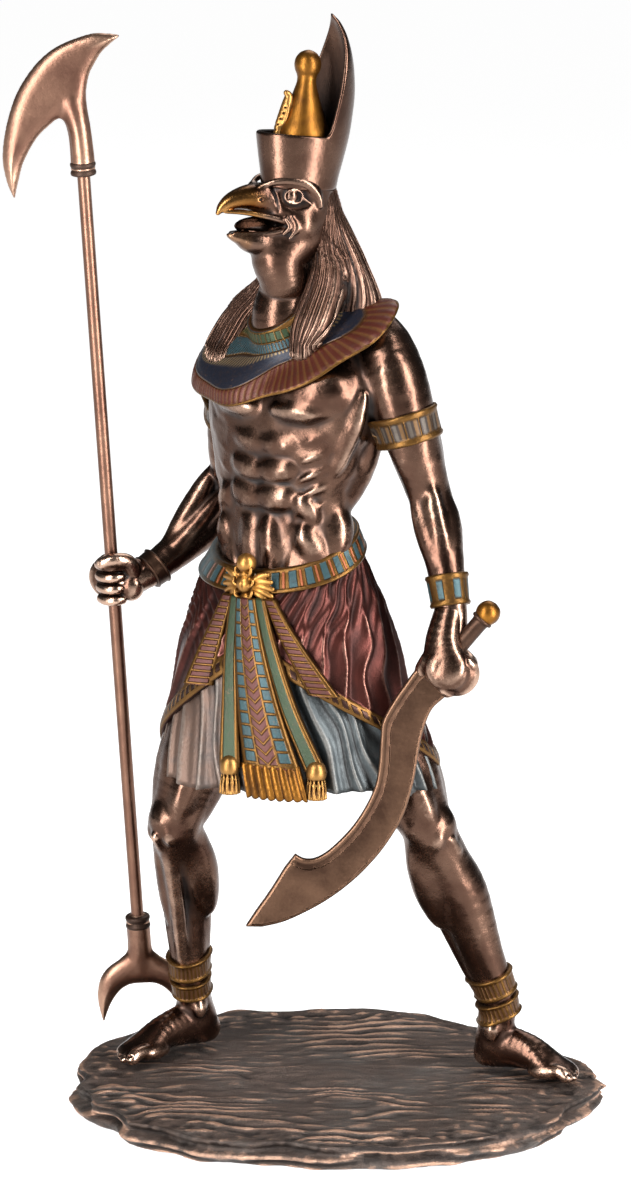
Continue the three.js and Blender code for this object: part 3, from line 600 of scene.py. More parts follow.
class Look:
    """A material under construction."""

    def __init__(self, name):
        self.material = bpy.data.materials.new(name)
        self.material.use_nodes = True
        self.tree = self.material.node_tree
        self.tree.nodes.clear()
        self.shader = self.tree.nodes.new("ShaderNodeBsdfPrincipled")
        out = self.tree.nodes.new("ShaderNodeOutputMaterial")
        self.tree.links.new(self.shader.outputs[0], out.inputs[0])
        self.place = self.tree.nodes.new("ShaderNodeTexCoord").outputs["Object"]
        self.stretch = {}

    def number(self, name):
        node = self.tree.nodes.new("ShaderNodeAttribute")
        node.attribute_name = name
        return Value(self.tree, node.outputs["Fac"])

    def noise(self, size, detail=3.0, stretch=(1, 1, 1), roughness=0.55):
        """Noise from 0 to 1 with blobs of about `size` millimetres, longer where `stretch` is big."""
        if stretch not in self.stretch:
            mapping = self.tree.nodes.new("ShaderNodeMapping")
            mapping.inputs["Scale"].default_value = [1000 / s for s in stretch]
            self.tree.links.new(self.place, mapping.inputs[0])
            self.stretch[stretch] = mapping.outputs[0]
        node = self.tree.nodes.new("ShaderNodeTexNoise")
        node.inputs["Scale"].default_value = 1 / size
        node.inputs["Detail"].default_value = detail
        node.inputs["Roughness"].default_value = roughness
        self.tree.links.new(self.stretch[stretch], node.inputs["Vector"])
        return Value(self.tree, node.outputs[0])

    def blend(self, share, first, second):
        """The first colour where `share` is 0, the second where it is 1."""
        node = self.tree.nodes.new("ShaderNodeMix")
        node.data_type = "RGBA"
        for entry, value in ((node.inputs[0], share), (node.inputs[6], first), (node.inputs[7], second)):
            if isinstance(value, Value):
                self.tree.links.new(value.socket, entry)
            elif isinstance(value, (int, float)):
                entry.default_value = value
            else:
                entry.default_value = [*value, 1]
        return Value(self.tree, node.outputs[2])

    def set(self, **inputs):
        for name, value in inputs.items():
            entry = self.shader.inputs[name.replace("_", " ")]
            if isinstance(value, Value):
                self.tree.links.new(value.socket, entry)
            else:
                entry.default_value = [*value, 1] if isinstance(value, list) and len(value) == 3 else value

    def bump(self, height, depth):
        """Relief of `height`, `depth` millimetres from 0 to 1."""
        node = self.tree.nodes.new("ShaderNodeBump")
        node.inputs["Strength"].default_value = 1.0
        node.inputs["Distance"].default_value = depth * MM
        self.tree.links.new(height.socket, node.inputs["Height"])
        self.tree.links.new(node.outputs[0], self.shader.inputs["Normal"])


DARK = rgb("1b120f")
BROWN = rgb("473229")
ROSY = rgb("60493d")
WORN = rgb("c9a893")


def metal(look, dark=DARK, low=BROWN, high=ROSY, worn=WORN, wear=1.0, smooth=0.21):
    """The colour, metalness and roughness of a bronzed surface, dark in its hollows and bare on its edges."""
    hollow = look.number("hollow")
    blotch = look.noise(9, 4)
    grain = look.noise(0.9, 3)
    deep = (hollow + (grain - 0.5) * 0.25).ramp(0.05, 0.62)
    bare = (0 - hollow + (blotch - 0.5) * 0.5 + (grain - 0.5) * 0.3).ramp(0.3, 0.85) * wear
    base = look.blend(blotch.ramp(0.3, 0.7), low, high)
    base = look.blend(bare * 0.75, base, worn)
    base = look.blend(deep, base, dark)
    rough = smooth + grain * 0.1 + deep * 0.25 + (blotch - 0.5) * 0.08
    shiny = 1 - deep * 0.45
    return base, shiny, rough


def bronze(name, strands=False, **changes):
    look = Look(name)
    base, shiny, rough = metal(look, **changes)
    height = look.noise(0.8, 4) * 0.5 + look.noise(4, 2)
    if strands:
        # Fine hairs between the modelled ones
        gap = 1 - (look.number("strand") * 2).part().within(0.16, 0.84, 0.16)
        base = look.blend(gap * 0.45, base, DARK)
        height = height - gap * 2.2
    look.set(Base_Color=base, Metallic=shiny, Roughness=rough)
    look.bump(height, 0.09)
    return look.material


BRONZE = bronze("brown bronze")
HAIR = bronze("combed bronze", strands=True, low=rgb("463228"), high=rgb("5c443a"), smooth=0.32, wear=0.5)
COPPER = bronze(
    "rose copper", dark=rgb("2a1b17"), low=rgb("66493d"), high=rgb("7d5e4e"), worn=rgb("b5927c"), smooth=0.3
)
DULL = bronze(
    "dull sword bronze", dark=rgb("2a1e19"), low=rgb("3d2b22"), high=rgb("4e3a2e"), worn=rgb("735745"),
    smooth=0.36
)


def gold(name="gold paint", low=rgb("52320f"), high=rgb("83561d")):
    look = Look(name)
    hollow = look.number("hollow")
    blotch = look.noise(5, 3)
    grain = look.noise(0.6, 3)
    deep = (hollow + (grain - 0.5) * 0.3).ramp(0.1, 0.7)
    base = look.blend(blotch.ramp(0.3, 0.7), low, high)
    base = look.blend((0 - hollow).ramp(0.2, 0.8) * 0.5, base, rgb("b98a4c"))
    base = look.blend(deep * 0.85, base, rgb("2c1a10"))
    look.set(Base_Color=base, Metallic=0.9, Roughness=0.32 + grain * 0.12 + deep * 0.2)
    look.bump(grain, 0.06)
    return look.material


GOLD = gold()
# A darker copy of the gold paint: worn gilt on the tassels, and painted shade on the cobra, which sits in
# shade
WORN_AND_SHADED_GOLD = gold("worn and shaded gilt", rgb("2f1d10"), rgb("54371b"))


# Studio, in metres and degrees
FLOOR_REACH = 16.0
FLOOR_LEVEL = -0.0003
CAMERA_PLACE = (-0.006, -1.2714, 0.4131)
CAMERA_TILT = 77.95
LENS = 143.13
SENSOR = 36
# Each softbox: azimuth, distance, height, height of its aim, width, length, power
SOFTBOXES = {
    "left softbox": (-43, 0.5, 0.42, 0.42, 0.13, 0.84, 7.0),
    "right softbox": (50, 0.5, 0.42, 0.42, 0.14, 0.84, 9.0),
    "top softbox": (160, 1.0, 1.3, 0.17, 1.0, 1.0, 8),
}


def studio():
    """The pale floor, the dim white surroundings, three softboxes and the camera."""
    corners = [(-1, -1), (1, -1), (1, 1), (-1, 1)]
    mesh = bpy.data.meshes.new("floor")
    mesh.from_pydata(
        [(x * FLOOR_REACH, y * FLOOR_REACH, FLOOR_LEVEL) for x, y in corners], [], [(0, 1, 2, 3)]
    )
    floor = bpy.data.objects.new("floor", mesh)
    bpy.context.scene.collection.objects.link(floor)
    look = Look("white sweep")
    look.set(
        Base_Color=rgb("b4b4b4"), Roughness=0.9, Emission_Color=[1.0, 1.0, 1.0], Emission_Strength=0.95
    )
    mesh.materials.append(look.material)

    world = bpy.data.worlds.new("studio")
    bpy.context.scene.world = world
    world.use_nodes = True
    world.node_tree.nodes["Background"].inputs[0].default_value = (1, 1, 1, 1)
    world.node_tree.nodes["Background"].inputs[1].default_value = 0.06
    bpy.context.scene.view_settings.view_transform = "Standard"

    def softbox(name, azimuth, distance, height, aim_height, wide, tall, power):
        light = bpy.data.lights.new(name, "AREA")
        light.shape = "RECTANGLE"
        light.size, light.size_y = wide, tall
        light.energy = power
        made = bpy.data.objects.new(name, light)
        a = math.radians(azimuth)
        made.location = (math.sin(a) * distance, -math.cos(a) * distance, height)
        aim = bpy.data.objects.new(name + " aim", None)
        aim.location = (0, 0, aim_height)
        for o in (made, aim):
            bpy.context.scene.collection.objects.link(o)
        track = made.constraints.new("TRACK_TO")
        track.target = aim
        track.track_axis, track.up_axis = "TRACK_NEGATIVE_Z", "UP_Y"

    for name, values in SOFTBOXES.items():
        softbox(name, *values)

    lens = bpy.data.cameras.new("camera")
    lens.lens = LENS
    lens.sensor_width = SENSOR
    camera = bpy.data.objects.new("camera", lens)
    camera.location = CAMERA_PLACE
    camera.rotation_euler = (math.radians(CAMERA_TILT), 0, 0)
    bpy.context.scene.collection.objects.link(camera)
    bpy.context.scene.camera = camera


# Trunk and arms
TRUNK = [
    (-13, 5.5, 126, 23, 15),
    (-13.5, 5.5, 140, 22, 14.2),
    (-14.4, 5, 152, 20.6, 12.2),
    (-14.4, 5, 161, 21, 11.6),
    (-13.6, 3.8, 171, 23.6, 12.2),
    (-12.6, 2.6, 182, 26.4, 13.0),
    (-11, 2.5, 191, 27.6, 13.4),
    (-9, 3, 198, 25.6, 12.4),
    (-8.2, 3.6, 205, 17, 10.2),
    (-9.6, 3.4, 212, 9, 7.4),
]
ARMS = {
    "right": {
        "cap": (-20, 12.5, 211),
        "shoulder": (-24, 16, 202),
        "upper": ((-28.8, 20.2, 194), (-28.5, 27, 181)),
        "elbow": (-29.5, 33, 157),
        "fore": ((-35, 31, 150), (-43, 26.5, 143.2)),
        "wrist": (-53, 21, 136.4),
        "hand": (-58, 19.5, 135),
    },
    "left": {
        "cap": (9, -6, 214.5),
        "shoulder": (12.5, -9.5, 204),
        "upper": ((15.6, -12.6, 195.5), (20, -13.5, 180)),
        "elbow": (24.6, -12.5, 165),
        "fore": ((27, -14.5, 157), (28.6, -18, 148)),
        "wrist": (30.2, -21.5, 136),
        "hand": (30.6, -22.5, 129),
    },
}
ARM_FRONT = HIPS[0]
ARM_INNER = np.cross(ARM_FRONT, UP)


def pushed(p, ahead, inward, up=0.0):
    return np.asarray(p, float) + ARM_FRONT * ahead + ARM_INNER * inward + UP * up


def add_arm(block, arm, outside):
    """An arm from the shoulder to the wrist. `outside` is 1 where ARM_INNER points away from the body."""
    high, low = (np.asarray(p, float) for p in arm["upper"])
    fore0, fore1 = (np.asarray(p, float) for p in arm["fore"])
    shoulder, elbow, wrist, hand = (
        np.asarray(arm[k], float) for k in ("shoulder", "elbow", "wrist", "hand")
    )
    core = [
        (*shoulder, 7.2, 7.2),
        (*high, 8.4, 8.4),
        (*low, 7.2, 7.4),
        (*elbow, 5.8, 6),
        (*fore0, 6.2, 6.2),
        (*fore1, 5.3, 5),
        (*wrist, 4.6, 3.9),
        (*hand, 4.4, 3.9),
    ]
    block.add(tube(core, 5, ARM_INNER), 2.0)
    out = ARM_INNER * outside
    block.add(egg(arm["cap"], mix(high, low, 0.8), 8.2, 8.2, ARM_INNER), 1.6)
    # The three heads of the shoulder
    for ahead, aside, wide in ((4.6, 0.5, 4.6), (0.4, 3.0, 5.0), (-4.2, 0.6, 4.8)):
        top = mix(shoulder, high, 0.05) + ARM_FRONT * ahead + out * aside * 0.6
        foot = mix(high, low, 0.78) + ARM_FRONT * ahead * 0.35 + out * (aside * 0.7 + 1.2)
        block.add(egg(top, foot, wide, 6.4 - wide * 0.15, ARM_FRONT), 1.1)
    # Biceps, the muscle between, and the triceps' two heads
    upper = lambda t, ahead, outward: pushed(mix(high, low, t), ahead, 0) + out * outward
    above = lambda t, ahead, outward: pushed(mix(low, elbow, t), ahead, 0) + out * outward
    front, back = ARM_FRONT, ARM_INNER
    block.add(egg(upper(0.35, 4.4, 0), above(0.92, 3.4, 0), 4.6, 4.2, back), 1.0)
    block.add(egg(mix(low, high, 0.1) + out * 3.6, above(0.8, 0, 3.2), 2.8, 3.2, front), 0.8)
    block.add(egg(upper(0.2, -4.4, 2), above(0.75, -3.6, 1.6), 3.8, 3.8, back), 1.0)
    block.add(egg(upper(0.4, -4.2, -2), above(0.9, -3.2, -1.6), 3.4, 3.6, back), 1.0)
    # Elbow, then the long muscles of the forearm
    below = lambda t, ahead, outward: pushed(mix(fore1, wrist, t), ahead, 0) + out * outward
    block.add(egg(above(0.8, -4.2, 0), pushed(mix(elbow, fore0, 0.5), -3.2, 0), 2.2, 1.8, back), 1.0)
    block.add(egg(above(0.62, 2.4, 3.0), below(0.35, 1.6, 1.2), 2.7, 3.3, front), 0.9)
    block.add(egg(above(0.9, 3.4, -2.2), below(0.35, 2.2, -0.8), 2.8, 3.2, front), 0.9)
    block.add(egg(above(0.95, -1.4, 3.2), below(0.5, -0.6, 1.6), 2.3, 3.0, front), 0.8)
    block.add(egg(above(1, -3.2, -1.4), below(0.5, -1.8, -0.8), 2.8, 3.0, front), 0.9)


CENTRE = 1.6  # how far the breastbone and navel lie to the left of the trunk's axis


def add_trunk(block):
    """Chest, back and belly, then the grooves between their muscles."""
    block.add(stack(TRUNK, CHEST, 2.15), 0.01)
    front, left, _ = CHEST
    for s in (1, -1):
        side = lambda ahead, leftward, z: on_trunk(ahead, CENTRE * 0.6 + s * leftward, z)
        # Chest twice, shoulder slope, shoulder blade, broad back muscle, the muscle beside the spine
        block.eggs(side, [
            ((8.8, -0.2, 191.4), (5.2, 23.6, 194.0), 8.0, 8.6, UP, 1.6),
            ((11.2, 0.4, 187.6), (8.0, 20.4, 189.2), 4.4, 6.4, UP, 1.0),
            ((-2, 2, 210), (-1.6, 21, 201.5), 6.2, 6.2, front, 2.4),
            ((-8.6, 3, 203), (-8.2, 19, 184), 7.0, 6.0, UP, 2.4),
            ((-4.4, 22.0, 196), (-4.6, 14.5, 158), 5.2, 7.4, front, 1.6),
            ((-9.6, 4.2, 190), (-9.2, 4.6, 142), 3.6, 4.6, UP, 1.8),
            # The edge of the broad back muscle beneath the armpit
            ((4.6, 25.6, 194), (4.8, 19.2, 170), 2.6, 3.6, front, 1.0),
            # Belly, three rows, then two long muscles to the belt
            ((11.2, -2.0, 178.0), (10.0, 11.6, 179.6), 4.0, 3.1, UP, 0.9),
            ((11.0, -2.0, 170.6), (9.8, 11.6, 172.2), 4.0, 3.1, UP, 0.9),
            ((10.6, -2.0, 162.8), (9.4, 11.6, 164.4), 4.4, 3.1, UP, 0.9),
            ((10.0, 3.2, 159), (10.2, 3.0, 138), 4.4, 3.6, left, 1.2),
        ])
        # Fingers of muscle over the ribs, and the flank above the belt
        for i in range(5):
            z = 184 - i * 5.4
            rib = side(10.2 - i * 0.5, 12.0 - i * 0.5, z - 5.0), side(3.8, 22.4 - i * 1.2, z + 1.0)
            block.add(egg(*rib, 1.7, 2.7, UP), 0.7)
        block.eggs(side, [
            ((9.4, 11.2, 165), (6.0, 16.0, 156.5), 2.6, 3.2, front, 1.8),
            ((8.2, 12.0, 157), (5.0, 16.4, 146.5), 4.0, 3.6, front, 1.8),
            ((-1.5, 17.6, 161), (1.0, 18.4, 146), 4.6, 4.0, front, 1.4),
        ])
        # Collarbone
        block.add(
            strand(spots(side, (8.8, 2.5, 203), (6.8, 10, 204.5), (2.2, 20, 205)), [1.4, 1.3, 1.2]), 1.4
        )
    for s in (1, -1):
        side = lambda ahead, leftward, z: on_trunk(ahead, CENTRE * 0.6 + s * leftward, z)
        # Grooves beside the belly's muscles, beneath the chest, between the rows and down to the groin
        flank = spots(side, (14.6, 9.6, 180.4), (12.9, 11.4, 172), (12.2, 10.6, 162), (12.6, 9, 153))
        block.cut(strand(flank, [0.4, 0.5, 0.5, 0.3]), 2.0)
        fold = spots(
            side, (7, 26.5, 190), (11.0, 20.5, 183.6), (14.2, 12, 181.8), (15.4, 4, 182.2),
            (15.8, 0.6, 183.6)
        )
        block.cut(strand(fold, [0.5, 1.2, 1.4, 1.2, 0.7]), 0.9)
        for z in (174.2, 166.9, 158.8):
            row = spots(side, (14.8, 0.6, z - 0.4), (14.2, 5, z), (12.8, 9.6, z + 1))
            block.cut(strand(row, [0.3, 0.5, 0.3]), 0.9)
        groin = spots(side, (10.6, 13.2, 158), (12.2, 9.4, 148), (12.6, 6, 141))
        block.cut(strand(groin, [0.3, 0.4, 0.3]), 2.0)
    # The groove down the middle, the navel and the line of the spine
    middle = lambda ahead, z: on_trunk(ahead, CENTRE, z)
    breast = spots(middle, (15.8, 196), (16.2, 186), (15.0, 178), (14.9, 168), (14.4, 160))
    block.cut(strand(breast, [0.7, 0.8, 0.7, 0.7, 0.8]), 1.2)
    block.cut(strand(spots(middle, (14.2, 154), (14.4, 147), (14.4, 140)), [0.3, 0.4, 0.3]), 1.8)
    block.cut(egg(middle(14.4, 159.6), middle(14.2, 156.4), 0.9, 2.2, left), 0.7)
    spine = spots(on_trunk, (-16.2, 0, 200), (-15.4, 0, 180), (-14.0, 0, 160), (-15.4, 0, 140))
    block.cut(strand(spine, [1.4, 1.6, 1.4, 1.2]), 1.6)


def body():
    block = Sculpt((-64, -34, 126), (40, 44, 222), 0.46)
    add_trunk(block)
    block.uneven(0.22, 4.4, 51)
    add_arm(block, ARMS["left"], 1 if np.dot(ARM_INNER, HIPS[1]) > 0 else -1)
    add_arm(block, ARMS["right"], -1 if np.dot(ARM_INNER, HIPS[1]) > 0 else 1)
    block.uneven(0.08, 2.4, 52)
    return block


# Legs
LEGS = {
    "right": {
        "hip": (-24, 11, 134),
        "knee": (-44.6, 4, 70),
        "calf": (-42.5, 17, 50),
        "ankle": (-41.2, 20.5, 19),
        "heel": (-37, 26.5, 0),
        "toes": (-60.5, 5.5, 0),
        "outside": -1,
    },
    "left": {
        "hip": (-3, -1, 134),
        "knee": (24.5, -8, 72),
        "calf": (34, -3, 52),
        "ankle": (45, 0, 19),
        "heel": (42, 3.5, 0),
        "toes": (66, -10.5, 0),
        "outside": 1,
    },
}


def leg_facing(leg):
    heel, toes = leg["heel"], leg["toes"]
    return facing(math.degrees(math.atan2(heel[0] - toes[0], heel[1] - toes[1])))


def add_leg(block, leg):
    """A leg from the hip down, with its muscles, knee and ankle, and then its foot."""
    joints = ("hip", "knee", "calf", "ankle", "heel")
    hip, knee, calf, ankle, heel = (np.asarray(leg[k], float) for k in joints)
    aim = leg_facing(leg)
    front, left, _ = aim
    out = leg["outside"]
    thigh = lambda t, ahead, leftward: beside(mix(hip, knee, t), aim, ahead, leftward)
    by_knee = lambda ahead, leftward, up: beside(knee, aim, ahead, leftward, up)
    by_ankle = lambda ahead, leftward, up: beside(ankle, aim, ahead, leftward, up)

    def shin(t, ahead, leftward):
        bowed = beside(mix(knee, ankle, t), aim, -2.2 * math.sin(math.pi * t), 0)
        return beside(bowed, aim, ahead, leftward)

    core = [
        (*mix(hip, knee, 0.3), 12.6, 12.6),
        (*mix(hip, knee, 0.7), 10, 10.4),
        (*mix(hip, knee, 0.9), 8, 8.2),
        (*knee, 7.4, 7.2),
        (*mix(knee, calf, 0.5), 6.8, 7),
        (*calf, 7.2, 7.4),
        (*mix(calf, ankle, 0.55), 5.4, 6),
        (*ankle, 4.3, 4.7),
        (*mix(ankle, heel, 0.6), 4.2, 5),
    ]
    block.add(tube(core, 5, left), 2.0)
    # The thigh's front: the long middle muscle, the drops beside the knee, then the two at the back
    block.eggs(thigh, [
        ((0.4, 6.5, 0), (0.9, 5.4, 0.3 * out), 5.0, 4.6, left, 1.4),
        ((0.45, 4.6, 5.6 * out), (0.95, 3.8, 4.4 * out), 4.2, 4.6, left, 1.2),
        ((0.62, 4.4, -5.2 * out), (1.0, 4.2, -4.4 * out), 3.8, 4.4, left, 1.2),
        ((0.35, -5.5, 3 * out), (1.0, -5.2, 3.6 * out), 4.8, 4.4, left, 1.6),
        ((0.35, -5.0, -4 * out), (1.02, -5.0, -3.8 * out), 4.6, 4.4, left, 1.6),
    ])
    # Kneecap, the pads below it and its tendon
    block.eggs(by_knee, [
        ((5.2, 0.2, 4.6), (5.6, 0.2, -2.6), 3.7, 2.6, left, 2.0),
        ((4.2, 3.6, 0.5), (4.4, 3.2, -5.2), 2.0, 2.6, left, 1.6),
        ((4.2, -3.4, 0.5), (4.4, -3.0, -5.2), 2.0, 2.6, left, 1.6),
    ])
    block.add(strand([by_knee(7.0, 0, -3), shin(0.12, 6.6, 0)], [1.7, 1.9]), 1.0)
    # The shin's edge, the two long muscles outside it, the calf's two heads, the tendon of the heel
    edge = [(0.08, 4.6, -0.6 * out, 2.6), (0.4, 5.4, -1.0 * out, 2.3), (0.85, 3.6, -1.2 * out, 1.8)]
    block.add(tube(stations(shin, edge)), 1.2)
    block.eggs(shin, [
        ((0.06, 3.2, 3.6 * out), (0.72, 3.0, 1.6 * out), 3.3, 3.6, left, 1.0),
        ((0.12, 0.2, 4.8 * out), (0.66, -0.4, 3.4 * out), 2.8, 3.0, front, 0.8),
        ((0.04, -3.6, 3.0 * out), (0.52, -4.2, 2.8 * out), 4.3, 5.0, left, 2.4),
        ((0.04, -3.4, -3.2 * out), (0.58, -4.2, -3.0 * out), 4.4, 5.0, left, 2.4),
    ])
    tendon = stations(shin, [(0.5, -4.8, 0, 2.6), (0.8, -4.6, 0, 1.8)])
    block.add(tube([*tendon, (*by_ankle(-4.4, 0, 0), 1.6), (*beside(heel, aim, -0.6, 0, 6), 2.4)]), 1.0)
    block.eggs(
        by_ankle, [((-0.6, s * 3.4, -4.6), (-0.4, s * 3.6, -9.6), 1.9, 1.5, front, 2.0) for s in (1, -1)]
    )
    add_foot(block, leg, aim)


def add_foot(block, leg, aim):
    heel, toes = np.asarray(leg["heel"], float), np.asarray(leg["toes"], float)
    length = np.linalg.norm(heel - toes)
    out = leg["outside"]
    along = lambda share, leftward, upward: beside(heel, aim, share * length, leftward, upward)
    sole = [
        (0.0, 0, 3.8, 4.0, 3.8),
        (0.22, 0, 6.2, 4.2, 5.6),
        (0.45, 0.2 * out, 5.8, 4.6, 4.8),
        (0.66, 0.4 * out, 3.8, 5.4, 3.3),
        (0.8, 0.5 * out, 2.5, 5.7, 2.4),
    ]
    block.add(tube(stations(along, sole), 4, aim[1]), 1.6)
    block.eggs(along, [
        ((0.52, -3.2 * out, 2.0), (0.86, -3.6 * out, 2.0), 2.6, 2.2, aim[1], 1.0),
        ((0.05, 3 * out, 1.8), (0.84, 4.8 * out, 1.5), 1.9, 1.8, aim[1], 1.0),
    ])
    # Toes: the big one to the inside, each with two joints and a nail
    sizes = (1.95, 1.3, 1.25, 1.15, 1.15)
    sides = (-3.9, -0.95, 1.35, 3.45, 5.35)
    ends = (1.0, 1.02, 0.98, 0.93, 0.86)
    for size, side, end in zip(sizes, sides, ends):
        spread = side * out
        root = along(0.74 - 0.02 * abs(side), spread * 0.82, 2.4)
        knuckle = along(end - 0.13, spread * 0.95, size + 0.9)
        tip = along(end - 0.035, spread, size * 0.92)
        block.add(strand([root, knuckle, tip], [size * 0.95, size, size * 0.92]), 0.35)
        # Tendons to the instep
        tendon = [along(0.36, spread * 0.35, 9.2), along(0.6, spread * 0.6, 6.2), root + UP * 0.4]
        block.add(strand(tendon, [0.5, 0.75, 0.8]), 1.0)
        nail = along(end - 0.005, spread, size * 1.35)
        block.cut(egg(nail - aim[0] * 0.9, nail + aim[0] * 0.7, size * 0.62, size * 0.22, aim[1]), 0.25)


def legs():
    blocks = {}
    for name, low, high in (
        ("right", (-68, -6, -1), (-14, 40, 112)), ("left", (-6, -30, -1), (76, 16, 112))
    ):
        block = Sculpt(low, high, 0.42)
        add_leg(block, LEGS[name])
        block.uneven(0.14, 6.5, 53)
        block.uneven(0.05, 2.2, 54)
        block.keep((0, 0, 0), (0, 0, -1), 0.3)
        block.keep((0, 0, 106), (0, 0, 1), 0.01)
        blocks[name] = block
    return blocks


# Hands


def add_fist(block, centre, axis, back, wrist, radius, hand):
    """A left (1) or right (-1) fist closed round a bar of `radius`, `axis` pointing to the thumb's side."""
    axis = unit(axis)
    back = square_to(back, axis)
    knuckles = np.cross(back, axis) * hand
    centre = np.asarray(centre, float)

    def spot(along, backward, outward):
        return centre + axis * along + back * backward + knuckles * outward

    finger = 1.62
    reach = radius + finger * 0.92
    # The hand's body, from the wrist to the knuckles
    palm = [
        (*wrist, 4.2, 3.7),
        (*mix(wrist, spot(0.3, 2.6, -4.0), 0.6), 4.9, 3.5),
        *stations(spot, [(-0.2, 3.4, -1.4, 6.0, 3.0), (-0.4, 3.5, 2.2, 6.2, 2.3)]),
    ]
    block.add(tube(palm, 5, axis), 1.4)
    block.add(egg(spot(-5.8, 0.6, -4.6), spot(2.0, -0.4, -4.6), 3.0, 3.6, back), 1.2)
    for row in (1.5, 0.5, -0.5, -1.5):

        def turn(degrees, more=0.0):
            a = math.radians(degrees)
            return spot(row * finger * 2.02, math.cos(a) * (reach + more), math.sin(a) * (reach + more))

        size = finger * (1.0 if abs(row) < 1 else 0.95)
        curl = spots(turn, (30, 0.9), (62, 0.5), (108, 0.15), (150,), (196,), (232,))
        block.add(strand(curl, [size * share for share in (1, 1.02, 0.98, 0.94, 0.92, 0.84)]), 0.3)
        block.add(ball(turn(44, 1.2), size * 0.98), 0.7)
        block.add(ball(turn(106, 0.55), size * 0.86), 0.4)
        block.add(strand([turn(36, 0.6), spot(row * finger * 1.5, 5.0, -1.5)], [0.9, 0.5]), 0.9)
    # The thumb, over the first finger
    thumb = spots(spot, (2.0, 1.0, -5.4), (5.6, -0.9, -4.4), (6.9, -3.4, -1.6), (6.3, -4.3, 1.7))
    block.add(strand(thumb, [2.5, 2.3, 1.95, 1.6]), 0.6)
    nail = thumb[3] + knuckles * 0.3 - back * 1.2, thumb[3] + knuckles * 1.4 - back * 1.5
    block.cut(egg(*nail, 1.0, 0.3, axis), 0.2)


STAFF_FOOT = np.array([-56.2, 28, 34.7])
STAFF_AXIS = unit((-12.3, -20, 215.6))
STAFF_SIDE = square_to(np.array([1.0, 0, 0]), STAFF_AXIS)
GRIP = np.array([31.5, -25.5, 125.0])
GRIP_AXIS = unit((-0.64, 0, -0.768))
ROD = 1.8
HANDLE = 2.3


def hands():
    right = Sculpt((-74, 6, 122), (-46, 34, 150), 0.3)
    add_fist(
        right, (-61.6, 18.4, 135), STAFF_AXIS, np.array([0.25, 0.97, 0]), ARMS["right"]["wrist"], ROD, -1
    )
    right.cut(
        cone(STAFF_FOOT + STAFF_AXIS * 60, STAFF_FOOT + STAFF_AXIS * 150, ROD + 0.05, ROD + 0.05), 0.05
    )
    left = Sculpt((16, -38, 106), (46, -10, 144), 0.3)
    centre = GRIP + GRIP_AXIS * 4.6 + [1.2, 0, -1]
    add_fist(left, centre, GRIP_AXIS, np.array([0, -1.0, 0]), ARMS["left"]["wrist"], HANDLE, 1)
    left.cut(cone(GRIP - GRIP_AXIS * 20, GRIP + GRIP_AXIS * 20, HANDLE + 0.05, HANDLE + 0.05), 0.05)
    return right, left


# Head and neck, the neck from the jaw to the shoulders: place, breadth and depth
NECK = [
    *stations(on_head, [(-0.5, 0, -6, 8.4, 9.0), (3.2, 0, -12.3, 7.7, 7.6), (1.5, 0, -18.5, 6.7, 6.4)]),
    (-14.4, 0.6, 218, 7.0, 6.8),
    (-15.0, 1.0, 210, 8.6, 8.2),
    (-11.2, 2.8, 200, 9.0, 9.0),
]
CROWN_SEAT = CROWN_FOOT + CROWN[2] * 1.4


def head():
    """The falcon's head with its open beak, down to the shoulders."""
    block = Sculpt((-40, -20, 198), (8, 20, 262), 0.3)
    left = FACE[1]
    block.add(egg(on_head(-10.4, 0, -0.6), on_head(11.2, 0, 0.0), 8.9, 9.0, left), 0.5)
    block.add(tube([(*on_head(-0.3, 0, -1), 8.5, 9.4), (*CROWN_SEAT, 8.2, 10.0)], 5, left), 1.0)
    block.add(tube(NECK, 5, left), 1.6)
    block.add(egg(on_head(3, 0, -9.6), on_head(16.4, 0, -9.6), 5.4, 3.6, left), 1.6)
    # Beak: a hooked upper half and a boat-shaped lower half, open
    upper = [
        (4.5, 0, 1.6, 6.6, 5.4),
        (10.5, 0, 2.0, 5.2, 4.3),
        (15.4, 0, 1.8, 3.9, 3.2),
        (19.4, 0, 0.6, 2.6, 2.3),
        (22.0, 0, -1.2, 1.5, 1.4),
        (23.2, 0, -3.0, 0.6, 0.6),
    ]
    block.add(tube(stations(on_head, upper), 6, left), 0.8)
    lower = [
        (4.4, 0, -7.0, 5.8, 2.8),
        (10, 0, -8.4, 4.6, 2.4),
        (14.6, 0, -9.0, 3.2, 1.9),
        (17.6, 0, -8.8, 1.9, 1.1),
        (19.0, 0, -8.4, 0.9, 0.6),
    ]
    block.add(tube(stations(on_head, lower), 6, left), 0.8)
    # The open mouth, its wedge closing towards the cheek, with a tongue and a web of skin
    mouth = [(24, 0, -6.6, 7, 2.2), (17, 0, -5.4, 7, 2.1), (12, 0, -4.5, 7, 1.5), (7.4, 0, -3.9, 8.5, 0.5)]
    block.cut(tube(stations(on_head, mouth), 6, left), 0.5)
    block.cut(egg(on_head(5.5, 0, -5.4), on_head(18, 0, -6.8), 2.9, 2.2, left), 0.5)
    block.add(egg(on_head(6, 0, -7.2), on_head(15.6, 0, -7.0), 1.7, 0.9, left), 0.4)
    block.add(egg(on_head(2, -0.6, -4.6), on_head(17.6, -0.6, -6.0), 1.0, 2.6, left), 0.4)
    for s in (1, -1):
        add_face(block, lambda ahead, leftward, upward: on_head(ahead, s * leftward, upward))
    return block


